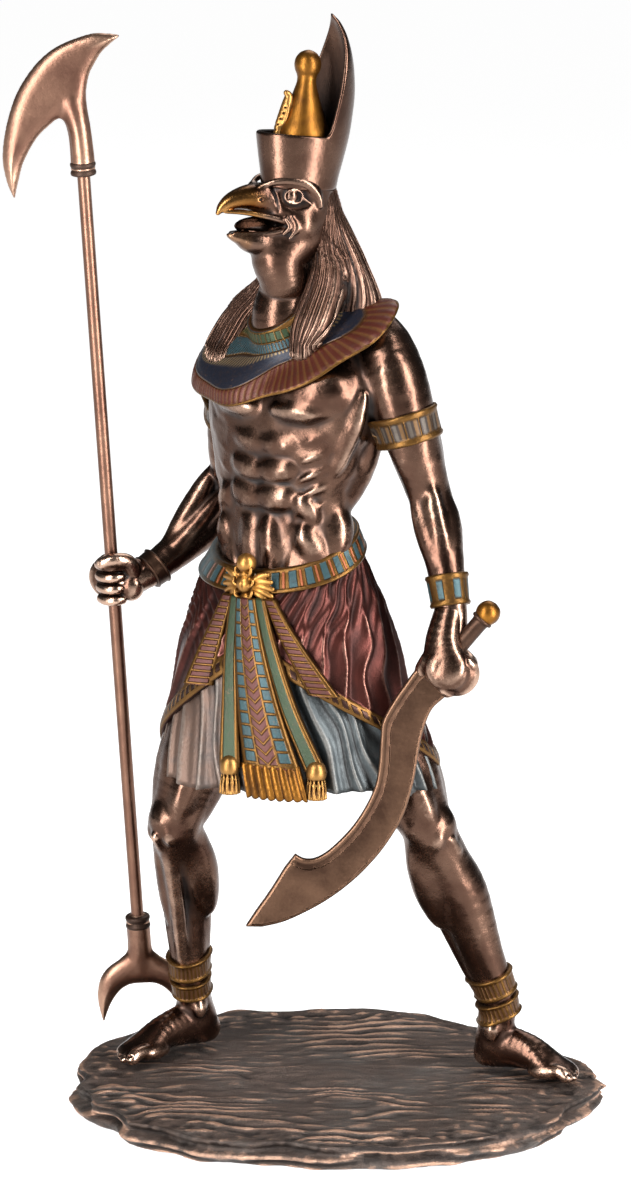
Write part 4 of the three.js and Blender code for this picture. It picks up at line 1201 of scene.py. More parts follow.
def add_face(block, spot):
    """One side of the face."""
    threads = [
        # The lips, thicker towards the mouth's corner
        ((21.4, 0.9, -2.4), (17.2, 2.7, -2.0), (12.4, 4.3, -2.2), (7.6, 6.1, -2.8), (4.9, 7.3, -3.4)),
        ((18.0, 1.2, -7.9), (13.5, 3.1, -7.4), (9.0, 4.9, -6.6), (5.4, 6.9, -5.2)),
        # Folds round the corner of the mouth
        ((6.6, 7.4, -2.4), (5.4, 7.9, -4.4), (6.6, 7.3, -6.4)),
        ((5.0, 8.0, -1.6), (3.6, 8.5, -4.4), (5.0, 8.0, -7.4)),
    ]
    radii = [0.5, 0.7, 0.8, 0.8, 0.6], [0.5, 0.6, 0.7, 0.6], [0.5, 0.6, 0.5], [0.4, 0.5, 0.4]
    for thread, thickness, blend in zip(threads, radii, (0.5, 0.5, 0.4, 0.4)):
        block.add(strand(spots(spot, *thread), thickness), blend)
    # Brow, the hollow beneath it, the eye and its lids
    block.cut(egg(spot(0.2, 9.9, 3.2), spot(10.8, 7.6, 3.9), 3.4, 2.4, UP), 1.0)
    arch = [(12.6, 3.0, 5.4), (10.0, 5.2, 7.0), (6.0, 7.4, 7.9), (1.6, 8.7, 7.2), (-1.4, 9.2, 4.8)]
    block.add(strand(spots(spot, *arch, (-2.6, 9.2, 2.0)), [0.6, 0.8, 0.8, 0.8, 0.7, 0.4]), 1.6)
    block.add(ball(spot(5.4, 6.7, 3.8), 1.8), 0.5)
    turns = np.linspace(0, 2 * math.pi, 13)
    lids = [(5.4 + 2.6 * math.cos(a), 8.1 - 0.3 * math.cos(a), 3.8 + 1.9 * math.sin(a)) for a in turns]
    block.add(strand(spots(spot, *lids), 0.25), 1.0)
    block.add(strand(spots(spot, (2.9, 8.4, 3.6), (0.6, 9.2, 2.4)), [0.4, 0.3]), 0.3)
    # Nostril and the seam of the beak's sheath
    block.cut(egg(spot(12.6, 4.6, 2.0), spot(13.6, 4.3, 1.8), 0.35, 0.5, UP), 0.3)
    seam = (11.0, 0.5, 6.4), (10.2, 3.4, 5.2), (9.0, 5.4, 2.4), (8.4, 6.2, -0.6)
    block.cut(strand(spots(spot, *seam), [0.3, 0.35, 0.35, 0.3]), 0.5)
    # Cheek
    block.add(egg(spot(-2.6, 6.0, -1.6), spot(4.4, 5.6, -5.4), 3.8, 3.7, UP), 2.0)


def paint_head(made, p):
    """Gold on the beak, fading out towards the face, and painted shade inside the open mouth."""
    d = p - HEAD
    ahead = d @ FACE[0]
    up = d @ FACE[2]
    share = np.clip((ahead - 10.2 - np.maximum(up - 1, 0) * 0.5) / 4.5, 0, 1)
    lower = (up < -6.0) * 0.75
    number(made, "gilt", np.clip(share - lower, 0, 1))
    aside = d @ FACE[1]
    # The mouth mask marks the gap between the beak's halves, which is painted near black as painted shade
    # inside the mouth
    number(made, "mouth", ((np.abs(aside + 0.6) < 1.8) & (up < -2.9) & (up > -8.2) & (ahead < 18.6)) * 1.0)


def gilded():
    look = Look("bronze with a gilt beak")
    base, shiny, rough = metal(look, wear=0.25)
    share = look.number("gilt")
    tone = look.blend(look.noise(3, 3), rgb("3f2410"), rgb("6e4117"))
    tone = look.blend((0 - look.number("hollow")).ramp(0.2, 0.8) * 0.5, tone, rgb("b98a52"))
    tone = look.blend(look.number("hollow").ramp(0.2, 0.8), tone, rgb("23140c"))
    # Painted shade: inside the open mouth the colour goes near black
    base = look.blend(look.number("mouth"), look.blend(share, base, tone), rgb("1c100a"))
    look.set(Base_Color=base, Metallic=shiny, Roughness=rough)
    look.bump(look.noise(0.8, 4), 0.06)
    return look.material


GILDED = gilded()

# Hair
STRANDS_ROUND = 60
STRAND_DEPTH = 0.34


def combed(block, turn_of, depth, seed=5):
    """Presses strands into a block, one to each whole number that `turn_of` gives."""
    near, (x, y, z) = block.close(2.5)
    turn = turn_of(x, y, z) + noise(x, y, z * 0.2, seed, 9.0) * 1.3
    turn = turn + noise(x, y, z * 0.12, seed + 1, 2.6) * 0.4
    fine = (np.abs((turn % 1.0) - 0.5) * 2) ** 2
    broad = (np.abs(((turn / 5) % 1.0) - 0.5) * 2) ** 6
    block.f[near] += ((fine + 0.7 * broad) * depth).astype(np.float32)


def hair():
    """The wig: a mass down the back and two lappets, each with strands of its own."""
    low, high = (-48, -30, 184), (28, 34, 262)
    back = [
        (-9.4, 1.6, 250, 7.4, 8.0),
        (-8.2, 2.8, 243, 8.6, 8.2),
        (-7.2, 4.0, 237, 9.8, 8.2),
        (-5.6, 5.6, 230, 12.0, 8.8),
        (-4.2, 7.0, 220, 16.6, 9.0),
        (-2.6, 8.8, 210, 19.6, 8.0),
        (-1.8, 11, 200, 17.0, 4.2),
    ]
    left = stations(on_head, [(-7.4, 3.4, 2, 3.0, 4.4), (-9.0, 4.8, -8, 3.8, 5)]) + stations(on_trunk, [
        (0.2, 8.2, 226, 5.4, 5.0),
        (3.0, 8.2, 219, 7.0, 4.6),
        (8.6, 8.0, 211, 7.4, 3.6),
        (11.4, 7.4, 205.4, 5.0, 1.8),
    ])
    right = stations(on_head, [(-5, -4.5, -5, 3.6, 5)]) + stations(on_trunk, [
        (2.4, -10.4, 219, 4.6, 5.0),
        (5.6, -17.4, 210.5, 6.4, 3.8),
        (8.8, -20.6, 204, 6.4, 2.6),
        (10.0, -21.0, 201.8, 5.8, 1.8),
    ])
    whole = Sculpt(low, high, 0.33)
    whole.add(tube(back, 6, CHEST[1]), 0.8)

    def around(x, y, z):
        return np.arctan2(y - 3, x + 7) * STRANDS_ROUND / (2 * math.pi)

    combed(whole, around, STRAND_DEPTH)
    parts = [(whole.f.copy(), around)]
    for lappet, seed in ((left, 7), (right, 9)):
        block = Sculpt(low, high, 0.33)
        block.add(tube(lappet, 6, CHEST[1]), 0.8)
        path = spline(lappet, 80)[::-1]

        def turn_of(x, y, z, path=path):
            across = x * CHEST[1][0] + y * CHEST[1][1]
            middle = np.interp(z, path[:, 2], path[:, :2] @ CHEST[1][:2])
            return (across - middle) / np.interp(z, path[:, 2], path[:, 3]) * 5.0

        combed(block, turn_of, STRAND_DEPTH, seed)
        rim = [
            (*(p[:3] - CHEST[1] * p[3] * 0.93 + CHEST[0] * p[4] * 0.3), 0.6) for p in spline(lappet, 9)[3:]
        ]
        block.add(tube(rim, 4), 0.5)
        parts.append((block.f, turn_of))
        whole.f = smin(whole.f, block.f, 0.8)
    strip = [
        (2.4, 8.4, 225.6, 2.2, 1.4), (6.8, 6.4, 219, 2.4, 1.4), (9.8, 4, 215.2, 2.4, 1.4),
        (12.4, 1.5, 212, 2, 1.4)
    ]
    whole.add(tube(strip, 6, CHEST[1]), 0.4)

    def paint(made, p):
        near = np.argmin([whole.sample(f, p) for f, _ in parts], 0)
        turns = [turn(p[:, 0], p[:, 1], p[:, 2]) for _, turn in parts]
        number(made, "strand", np.choose(near, turns) + 200)

    return whole, paint


# Crown
CUP_NARROW = 0.78  # the cup's breadth as a share of its depth


def ring_of(foot, way, height, radius, count, narrow=1.0):
    a = np.linspace(0, 2 * math.pi, count, endpoint=False)
    front, left, up = way
    spot = np.asarray(foot, float) + up * height
    return spot + np.outer(np.cos(a) * radius, -front) + np.outer(np.sin(a) * radius * narrow, left)


def lathe(name, foot, way, profile, count=96, rows=6, narrow=1.0):
    """A turned body through a profile of (height, radius), from its bottom centre over the top."""
    dense = spline(profile, rows * (len(profile) - 1) + 1)
    rings = np.stack([ring_of(foot, way, h, max(r, 0.02), count, narrow) for h, r in dense])
    return closed_loft(name, rings)


def with_hollow(made, value=-0.1):
    number(made, "hollow", np.full(len(made.data.vertices), value))
    return made


def crown():
    # The cup and the riser are one wall: the riser is a tall scoop at the back, thin at its edge
    wall = spline(
        [
            (0.2, 9.6), (0.8, 9.95), (4, 10.4), (9, 11.4), (14.6, 12.4), (20, 12.9), (26, 13.1), (32, 12.5),
            (37, 11.4), (41.5, 9.7), (44.8, 7.7), (46.9, 6.1)
        ],
        160
    )
    spread = spline(
        [
            (76, 14.9), (74, 15.6), (71, 19), (66, 25), (58, 31.6), (48.5, 37), (37, 41.5), (22, 44.9),
            (5, 46.9), (-5, 46.9)
        ],
        160
    )[::-1]
    rows, columns = 44, 160
    a = np.linspace(-math.pi, math.pi, columns, endpoint=False)
    top = np.interp(np.degrees(np.abs(a)), spread[:, 0], spread[:, 1])
    for _ in range(3):
        top = evened(top, down=False)
    share = np.linspace(1, 0, rows)[:, None]
    height = 0.2 + (top[None] - 0.2) * share
    radius = np.interp(height, wall[:, 0], wall[:, 1])
    left_over = top[None] - height
    thick = 1.3 * np.sqrt(np.clip(1 - (1 - np.clip(left_over / 0.9, 0, 1)) ** 2, 0.04, 1))
    front, left, up = CROWN

    def sheet(r):
        aside = np.sin(a) * r * CUP_NARROW
        place = CROWN_FOOT + up * height[..., None] - front * (np.cos(a) * r)[..., None]
        return place + left * aside[..., None]

    made = closed_ring(
        "crown_cup", sheet(radius + thick * 0.5)[:, ::-1], sheet(radius - thick * 0.5)[:, ::-1]
    )
    # Painted shade inside the cup: the inner side of the wall is marked hollow, and so darkened, more
    # strongly towards the bottom
    number(made, "hollow", twice(0 * height - 0.12, np.clip(0.8 - (height - 12) / 40, 0, 0.8)))
    piece(made, BRONZE)
    floor = [(0.4, 0.02), (0.5, 9.6), (6, 10.2), (11.2, 11.2), (11.4, 10.8), (11.5, 0.02)]
    # The cup's floor is marked hollow, so it is painted dark as painted shade at the bottom of the cup
    piece(with_hollow(lathe("crown_floor", CROWN_FOOT, CROWN, floor, narrow=CUP_NARROW), 0.6), BRONZE)
    bottle = [
        (10, 7.4), (14.0, 7.4), (16.2, 7.1), (18.6, 6.1), (21.6, 4.8), (24.4, 3.8), (26.6, 3.1),
        (28.2, 2.65), (29.4, 2.55), (30.4, 2.75), (31.6, 3.3), (33.2, 3.6), (34.8, 3.3), (36.2, 2.3),
        (36.9, 1.0), (37.1, 0.1)
    ]
    piece(with_hollow(lathe("crown_bottle", CROWN_FOOT, CROWN, bottle)), GOLD)
    # The rearing cobra at the front of the inner crown
    block = Sculpt(CROWN_FOOT + [-22, -16, 8], CROWN_FOOT + [8, 12, 34], 0.26)

    def spot(height, radius, side=0.0):
        return CROWN_FOOT + CROWN[2] * height + CROWN[0] * radius + CROWN[1] * side

    cobra = spots(spot, (12, 7.8), (16, 7.4), (19.6, 6.1), (22.6, 5.2), (24.6, 5.0), (25.4, 5.8))
    block.add(strand(cobra, [0.9, 1.2, 1.5, 1.5, 1.1, 0.8]), 0.5)
    block.add(egg(spot(15.5, 7.2), spot(23.4, 5.2), 2.3, 0.9, CROWN[1]), 0.5)
    for i in range(5):
        z = 15.6 + i * 1.5
        r = 8.4 - i * 0.55
        block.cut(strand([spot(z, r, -1.3), spot(z - 0.2, r + 0.2, 0), spot(z, r, 1.3)], 0.22), 0.2)
    # The cobra takes the darker gold as painted shade
    sculpted("crown_cobra", block, 20000, WORN_AND_SHADED_GOLD)


# Kilt
WAIST_Z = 148
HEM_Z = 82
SKIRT_TOP = 134
SKIRT_HEM = 85
APRON_END = 92.6
FRINGE_TOP = 93.6
FRINGE_END = 84.8
KILT = spline([(-14.2, 5), (-13.4, 4), (-13, 3), (-12.6, 2), (-11.4, 1), (-10.2, 0)], 200)
KILT_SIZE = spline(
    [
        (23.4, 15.6, 35), (27.4, 19, 32), (31.4, 21.8, 27), (33.8, 23.6, 22), (38, 25.4, 18),
        (40.4, 26.2, 15)
    ],
    200
)


def on_kilt(z, degrees, outward=0.0):
    """Points of the kilt's surface at heights z, `degrees` round from its front towards the figure's left."""
    z, degrees, outward = np.broadcast_arrays(*(np.asarray(v, float) for v in (z, degrees, outward)))
    share = np.clip((WAIST_Z - z) / (WAIST_Z - HEM_Z), 0, 1)
    at = np.linspace(0, 1, 200)
    x, y = (np.interp(share, at, KILT[:, i]) for i in (0, 1))
    wide, deep, turn = (np.interp(share, at, KILT_SIZE[:, i]) for i in (0, 1, 2))
    a, t = np.radians(degrees), np.radians(turn)
    ahead = (deep + outward) * np.cos(a)
    side = (wide + outward) * np.sin(a)
    px = x - np.sin(t) * ahead + np.cos(t) * side
    py = y - np.cos(t) * ahead - np.sin(t) * side
    return np.stack([px, py, z], -1)


def belt_height(degrees):
    a = np.radians(degrees)
    return 146.5 - 6.5 * np.cos(a) + 1.5 * np.sin(a)


def wrap_hem(degrees):
    return 122 - 33 * np.minimum(1, np.abs(degrees) / 95)


def closed_ring(name, outer, inner):
    """A sheet that goes all the way round, between two grids [rows, columns, 3] that run downwards."""
    rows, columns, _ = outer.shape
    n = rows * columns
    face = grid_faces(rows, columns, loop=True)
    i = np.arange(n).reshape(rows, columns)
    j = np.roll(i, -1, 1)
    low = np.stack([i[-1], j[-1], j[-1] + n, i[-1] + n], 1)
    high = np.stack([j[0], i[0], i[0] + n, j[0] + n], 1)
    verts = np.concatenate([outer.reshape(-1, 3), inner.reshape(-1, 3)])
    return mesh_object(name, verts, np.concatenate([face[:, ::-1], face + n, low[:, ::-1], high[:, ::-1]]))


def round_grid(rows, columns):
    """Degrees round the figure and the share of the way down, for each vertex of a sheet."""
    degrees = np.linspace(-180, 180, columns, endpoint=False)[None, :] * np.ones((rows, 1))
    return degrees, np.linspace(0, 1, rows)[:, None] * np.ones((1, columns))


def twice(*grids):
    """Numbers for the outer and then the inner side of a sheet."""
    return np.concatenate([np.asarray(g).ravel() for g in grids])


def crease(phase, sharp=2.0):
    """Folds with one crest to each whole number."""
    return 1 - np.abs(2 * (phase % 1.0) - 1) ** (1 / sharp)


def wrap():
    degrees, v = round_grid(72, 380)
    top, hem = belt_height(degrees) - 1.0, wrap_hem(degrees)
    z = top + (hem - top) * v
    down = top - z
    above = z - hem
    p = on_kilt(z, degrees)
    wobble = noise(p[..., 0], p[..., 1], p[..., 2], 3, 9) - 0.5
    phase = degrees / 15 + down * 0.06 + wobble * 0.7
    fold = phase % 1.0
    crest = np.where(fold < 0.72, fold / 0.72, (1 - fold) / 0.28) ** 1.4
    grow = np.clip(down / 14, 0.1, 1) * np.clip(above / 4 - 0.4, 0, 1)
    # Short folds gathered beneath the belt, running down to the sides
    sway = np.abs(degrees) * 0.11
    bunch = crease(down * 0.24 + sway + wobble * 1.6, 1.2) * 2 - 1
    bunch = bunch * np.clip(1.15 - down / 20, 0, 1) * np.clip(down / 2, 0, 1)
    lift = crest * grow * 1.15 - 0.4 + bunch * 0.5
    border = np.clip(1 - np.abs(above - 2.3) / 2.6, 0, 1) ** 0.25
    lift = lift * (1 - border) + 0.85 * border
    outer = on_kilt(z, degrees, lift)
    inner = on_kilt(z, degrees, -1.2)
    made = closed_ring("kilt_wrap", outer, inner)
    soft = 0.5 - crest * grow
    number(
        made, "hollow",
        twice(np.clip(soft * 1.1 * (1 - border) - bunch * 0.35, -1, 1), np.full(v.shape, 0.9))
    )
    number(made, "above", twice(above, np.full(v.shape, 20.0)))
    number(made, "along", twice(degrees * 0.58, degrees))
    return piece(made, CLOTH)


def border_pattern(above, along):
    """Gold with two bright edges and dark blocks between them: how much of it is dark."""
    blocks = (along / 2.6).part().within(0.2, 0.8, 0.06)
    return blocks * above.within(1.3, 3.5, 0.12)


def wrap_cloth():
    look = Look("maroon wrap")
    hollow = look.number("hollow")
    grain = look.noise(0.8, 3)
    blotch = look.noise(6, 3)
    base = look.blend(blotch.ramp(0.3, 0.7), rgb("391b16"), rgb("4c241e"))
    base = look.blend((0 - hollow + (grain - 0.5) * 0.4).ramp(0.32, 0.8) * 0.7, base, rgb("b08474"))
    base = look.blend((hollow + (grain - 0.5) * 0.3).ramp(0.2, 0.7) * 0.85, base, rgb("190c0a"))
    above, along = look.number("above"), look.number("along")
    trim = 1 - above.over(4.7, 0.12)
    gilt = look.blend(blotch, rgb("4a3116"), rgb("6c4c21"))
    gilt = look.blend(border_pattern(above, along), gilt, rgb("33201a"))
    base = look.blend(trim, base, gilt)
    look.set(Base_Color=base, Metallic=0.82, Roughness=0.3 + grain * 0.12 + hollow.ramp(0, 1) * 0.2)
    look.bump(grain * 0.5 - border_pattern(above, along) * trim * 3, 0.1)
    return look.material


CLOTH = wrap_cloth()


def under_skirt():
    degrees, v = round_grid(36, 400)
    hem = SKIRT_HEM + 1.2 * np.sin(np.radians(degrees * 3 + 40)) + 0.5 * np.sin(np.radians(degrees * 11))
    z = SKIRT_TOP + (hem - SKIRT_TOP) * v
    p = on_kilt(z, degrees)
    wobble = noise(p[..., 0], p[..., 1], p[..., 2] * 0.4, 8, 8) - 0.5
    phase = degrees / 12.0 + wobble * 0.9
    wave = np.cos(2 * math.pi * phase) * 0.5 + np.cos(4 * math.pi * phase + 1) * 0.22
    grow = 0.35 + 0.85 * v
    lift = wave * grow * 1.5 - 1.6
    made = closed_ring("under_skirt", on_kilt(z, degrees, lift), on_kilt(z, degrees, lift - 1.3))
    number(made, "hollow", twice(np.clip(-wave * 0.9 + 0.05, -1, 1), np.full(v.shape, 0.8)))
    number(
        made, "bare",
        twice(np.clip(np.cos(np.radians(degrees + 62)) * 1.4 - 0.55, 0, 1), np.full(v.shape, 0.5))
    )
    return piece(made, LINEN)


def linen():
    look = Look("silvered under skirt")
    hollow = look.number("hollow")
    grain = look.noise(0.8, 3)
    blotch = look.noise(5, 4)
    base = look.blend(blotch.ramp(0.3, 0.7), rgb("33383a"), rgb("4d5253"))
    bare = (look.number("bare") * 1.2 + (blotch - 0.5) * 1.4).ramp(0.2, 0.9)
    base = look.blend(bare * 0.9, base, rgb("604a3e"))
    base = look.blend((0 - hollow + (grain - 0.5) * 0.4).ramp(0.3, 0.9) * 0.6, base, rgb("a39b92"))
    base = look.blend((hollow + (grain - 0.5) * 0.3).ramp(0.1, 0.75) * 0.9, base, rgb("19120f"))
    look.set(Base_Color=base, Metallic=0.65, Roughness=0.42 + grain * 0.12)
    look.bump(grain, 0.1)
    return look.material


LINEN = linen()


def hanging(name, start, end, widths, outward, low, material, thick=1.0, top=None, turns=(33, 19)):
    """A strip from the belt's middle to its own end, as (degrees, half widths, outward)."""
    rows, columns = 60, 25
    v = np.linspace(0, 1, rows)
    high = belt_height(0) - 3 if top is None else top
    z = high + (low - high) * v
    middle = on_kilt(z, start + (end - start) * v, outward)
    half = widths[0] + (widths[1] - widths[0]) * v
    turn = np.radians(turns[0] + (turns[1] - turns[0]) * v)
    left = np.stack([np.cos(turn), -np.sin(turn), 0 * turn], -1)
    ahead = np.stack([-np.sin(turn), -np.cos(turn), 0 * turn], -1)
    u = np.linspace(-1, 1, columns)
    across = middle[:, None] + left[:, None] * (u[None, :, None] * half[:, None, None])
    curve = -0.02 * (u[None, :] * half[:, None]) ** 2
    edge = 0.25 * (1 - np.clip(np.abs(u) * 6 - 5, 0, 1))[None, :]
    face = across + ahead[:, None] * (curve + thick + edge)[..., None]
    back = across + ahead[:, None] * (curve - 0.6)[..., None]
    made = closed_patch(name, face, back)
    grid = np.ones((rows, columns))
    number(made, "across", twice(u[None, :] * half[:, None] * grid, u[None, :] * half[:, None] * grid))
    number(made, "half", twice(half[:, None] * grid, half[:, None] * grid))
    number(made, "down", twice((high - z)[:, None] * grid, (high - z)[:, None] * grid))
    number(made, "hollow", twice(0 * grid, 0 * grid + 0.8))
    return piece(made, material)


ENAMEL = {"turquoise": rgb("263f43"), "red": rgb("42160e"), "green": rgb("1b2c12"), "blue": rgb("12151f")}


def enamelled(name, draw):
    """Gold with enamel fields. `draw(look)` lists (share, colour) from the lowest to the topmost."""
    look = Look(name)
    grain = look.noise(0.7, 3)
    blotch = look.noise(4, 3)
    gilt = look.blend(blotch, rgb("4a3116"), rgb("6c4c21"))
    base, painted = gilt, None
    for share, tone in draw(look):
        base = look.blend(share, base, tone)
        painted = share if painted is None else painted.most(share)
    wear = (grain * 0.6 + blotch * 0.6).ramp(0.72, 0.95)
    base = look.blend(wear * 0.5, base, rgb("85624a"))
    base = look.blend(look.noise(1.6, 4).ramp(0.5, 0.8) * 0.55, base, rgb("34251c"))
    base = look.blend(
        (look.number("hollow") + (grain - 0.5) * 0.4).ramp(0.2, 0.8) * 0.8, base, rgb("2a1a12")
    )
    look.set(Base_Color=base, Metallic=0.88 - painted * 0.45, Roughness=0.34 + painted * 0.08 + grain * 0.1)
    look.bump(0 - painted * 2 + grain * 0.5, 0.16)
    return look.material


def apron_pattern(look):
    across, half, down = look.number("across"), look.number("half"), look.number("down")
    u = across / half
    side = u.size()
    body = 1 - down.over(43.2, 0.1)
    middle = 1 - side.over(0.33, 0.03)
    chevrons = ((down + side * half * 0.9) / 2.7).part().within(0.12, 0.86, 0.07)
    columns = side.within(0.44, 0.84, 0.03)
    squares = (down / 3.3).part().within(0.1, 0.9, 0.04)
    bars = (across / 1.7).part().within(0.2, 0.8, 0.06)
    rows = down.within(43.9, 46.6, 0.1) * bars * (1 - side.over(0.9, 0.03))
    return [
        (middle * chevrons * body, ENAMEL["red"]),
        (columns * squares * body, ENAMEL["turquoise"]),
        (rows, rgb("5b2a1a")),
    ]


def stripe_pattern(look):
    across, half = look.number("across"), look.number("half")
    return [(1 - (across / half).size().over(0.6, 0.06), ENAMEL["green"])]


def sash_pattern(look):
    across, half, down = look.number("across"), look.number("half"), look.number("down")
    inside = 1 - (across / half).size().over(0.7, 0.05)
    bars = (down / 1.75).part().within(0.18, 0.88, 0.08)
    return [(inside * bars, ENAMEL["red"])]


def apron():
    hanging("sash_left", 14, 33, (1.6, 4.3), 0.9, 112, enamelled("red sash", sash_pattern))
    hanging("sash_right", -14, -33, (1.6, 4.3), 0.9, 112, enamelled("red sash right", sash_pattern))
    green = enamelled("green stripe", stripe_pattern)
    hanging("stripe_left", 8, 19.5, (1.6, 3.0), 1.2, 92, green)
    hanging("stripe_right", -8, -15.5, (1.6, 3.0), 1.2, 92, green)
    hanging("apron", 0, 2, (2.9, 7.9), 2.0, APRON_END, enamelled("apron", apron_pattern))
    fringe()
    for s in (1, -1):
        tassel(s)


def fringe():
    """Cords side by side below the apron."""
    rows, columns = 16, 121
    u = np.linspace(-1, 1, columns)
    v = np.linspace(0, 1, rows)
    z = FRINGE_TOP + (FRINGE_END - FRINGE_TOP) * v
    middle = on_kilt(z, 2.0, 1.8)
    turn = np.radians(18)
    left = np.array([math.cos(turn), -math.sin(turn), 0])
    ahead = np.array([-math.sin(turn), -math.cos(turn), 0])
    half = 8.1 + 0.5 * v
    cords = np.abs(np.sin(u * 8.2 / 1.15 * math.pi / 2)) ** 0.7
    ripple = 0.12 * np.sin(v[:, None] * 60) * cords[None, :]
    face = middle[:, None] + left * (u[None, :, None] * half[:, None, None])
    bulge = (
        1.0 + 0.55 * cords[None, :] + ripple + 0.5 * np.sin(math.pi * v)[:, None]
        - 0.02 * (u[None, :] * half[:, None]) ** 2
    )
    outer = face + ahead * bulge[..., None]
    ends = 0.7 * cords[None, :] * np.clip(v * 4 - 3, 0, 1)[:, None]
    outer[..., 2] -= ends
    inner = face - ahead * 0.8
    inner[..., 2] -= ends
    made = closed_patch("apron_fringe", outer, inner)
    grid = np.ones((rows, columns))
    number(made, "hollow", twice((0.75 - cords)[None, :] * grid, grid * 0.8))
    piece(made, GOLD)


def tassel(s):
    block = Sculpt(on_kilt(86, 2 + s * 17.5) - [6, 6, 4], on_kilt(86, 2 + s * 17.5) + [6, 6, 10], 0.26)
    x, y, z = on_kilt(92, 2 + s * 17.5, 1.6)
    shape = [(0.6, 2.6), (-0.6, 2.7), (-1.6, 1.9), (-3.6, 2.7), (-7.0, 3.0)]
    block.add(tube([(x, y, z + up, radius) for up, radius in shape]), 0.3)
    for i in range(12):
        a = i * math.pi / 6
        d = np.array([math.cos(a), math.sin(a), 0])
        block.cut(
            strand([np.array([x, y, z - 1.8]) + d * 1.9, np.array([x, y, z - 7.6]) + d * 3.1], 0.35), 0.2
        )
    block.keep((0, 0, z - 7.4), (0, 0, -1), 0.3)
    return sculpted("tassel_left" if s > 0 else "tassel_right", block, 6000, WORN_AND_SHADED_GOLD)


def belt():
    degrees, v = round_grid(14, 360)
    z = belt_height(degrees) + 3.6 - 6.0 * v
    rim = np.where((v < 0.14) | (v > 0.86), 0.35, 0.0) - np.where((v < 0.03) | (v > 0.97), 0.3, 0.0)
    out = 0.75 + rim
    lean = -2.3 * (1 - v) ** 1.5
    made = closed_ring("belt", on_kilt(z, degrees, out + lean), on_kilt(z, degrees, -4.5))
    number(made, "along", twice(degrees * 0.42, degrees))
    number(made, "down", twice(6 * v, 6 * v + 20))
    number(made, "hollow", twice(0 * v, 0 * v + 0.8))
    # Towards the figure's right side, short of the back, the belt's colours give way to a pale grey-blue
    number(made, "greyed_side", twice(np.clip((-degrees - 28) / 22, 0, 1) * (degrees > -140), 0 * v))
    return piece(made, BELT)


def belt_pattern(look):
    along, down = look.number("along"), look.number("down")
    inside = down.within(1.0, 5.0, 0.12)
    square = (along / 5.2).part().within(0.12, 0.58, 0.03)
    bar = (along / 5.2).part().within(0.74, 0.9, 0.03)
    greyed = look.number("greyed_side")
    # The last entry turns the belt pale grey-blue towards the figure's right side
    return [
        (inside * square, ENAMEL["turquoise"]), (inside * bar, rgb("8a4a28")), (greyed * 0.8, rgb("5b6a6e"))
    ]


BELT = enamelled("belt", belt_pattern)


# Bands round the limbs and the neck, laid on the body


def reached(block, origins, directions, far):
    """How far each ray runs from inside the block to its surface."""
    origins, directions = np.broadcast_arrays(origins, directions)
    steps = np.linspace(0.5, far, 90)
    left = np.full(origins.shape[:-1], far)
    found = np.zeros(origins.shape[:-1], bool)
    last = None
    for t in steps:
        value = block.sample(block.f, (origins + directions * t).reshape(-1, 3)).reshape(left.shape)
        if last is not None:
            crossing = (value >= 0) & (last < 0) & ~found
            share = last / np.where(last - value == 0, 1, last - value)
            left = np.where(crossing, t - (steps[1] - steps[0]) * (1 - share), left)
            found |= crossing
        last = value
    return left


def band(name, block, low, high, thick, material, rows=14, columns=110, far=14, rims=0.35, even=True):
    """A cuff between two points of a limb, with raised rims."""
    low, high = np.asarray(low, float), np.asarray(high, float)
    axis = unit(high - low)
    side = square_to(CHEST[1], axis)
    through = np.cross(axis, side)
    v = np.linspace(0, 1, rows)
    a = np.linspace(0, 2 * math.pi, columns, endpoint=False)
    origin = (low + np.outer(v, high - low))[:, None, :] * np.ones((1, columns, 1))
    direction = (np.cos(a)[:, None] * side + np.sin(a)[:, None] * through)[None] * np.ones((rows, 1, 1))
    reach = reached(block, origin, direction, far)
    if even:
        for _ in range(3):
            reach = evened(reach, 3, down=False)
        reach = np.maximum(reach, reach.mean(0)[None] * 0.96)
    rim = np.where((v < 0.15) | (v > 0.85), rims, 0.0) - np.where((v < 0.04) | (v > 0.96), rims * 0.8, 0.0)
    outer = origin + direction * (reach + thick + rim[:, None])[..., None]
    inner = origin + direction * (reach - 0.8)[..., None]
    made = closed_ring(name, outer[::-1], inner[::-1])
    turn = (a[None, :] * np.ones((rows, 1)) / (2 * math.pi))[::-1]
    number(made, "turn", twice(turn, turn))
    number(
        made, "down",
        twice(np.linspace(0, 1, rows)[:, None] * np.ones((1, columns)), np.full((rows, columns), 5.0))
    )
    number(made, "hollow", twice(np.zeros((rows, columns)), np.full((rows, columns), 0.8)))
    return piece(made, material)


def studs_pattern(count):
    def draw(look):
        turn, down = look.number("turn"), look.number("down")
        inside = down.within(0.22, 0.78, 0.04)
        beat = (turn * count).part()
        return [
            (inside * beat.within(0.05, 0.95, 0.04), rgb("21160f")),
            (inside * beat.within(0.2, 0.44, 0.04), rgb("453d35")),
            (inside * beat.within(0.62, 0.86, 0.04), rgb("543917")),
        ]

    return draw


def inlay_pattern(count):
    def draw(look):
        turn, down = look.number("turn"), look.number("down")
        inside = down.within(0.2, 0.8, 0.04)
        beat = (turn * count).part()
        return [(inside * beat.within(0.3, 0.7, 0.03), ENAMEL["turquoise"])]

    return draw


def ring_pattern(look):
    turn, down = look.number("turn"), look.number("down")
    beat = (turn * 26).part()
    return [(down.within(0.18, 0.82, 0.05) * beat.within(0.25, 0.75, 0.06) * 0.8, rgb("4a2c18"))]


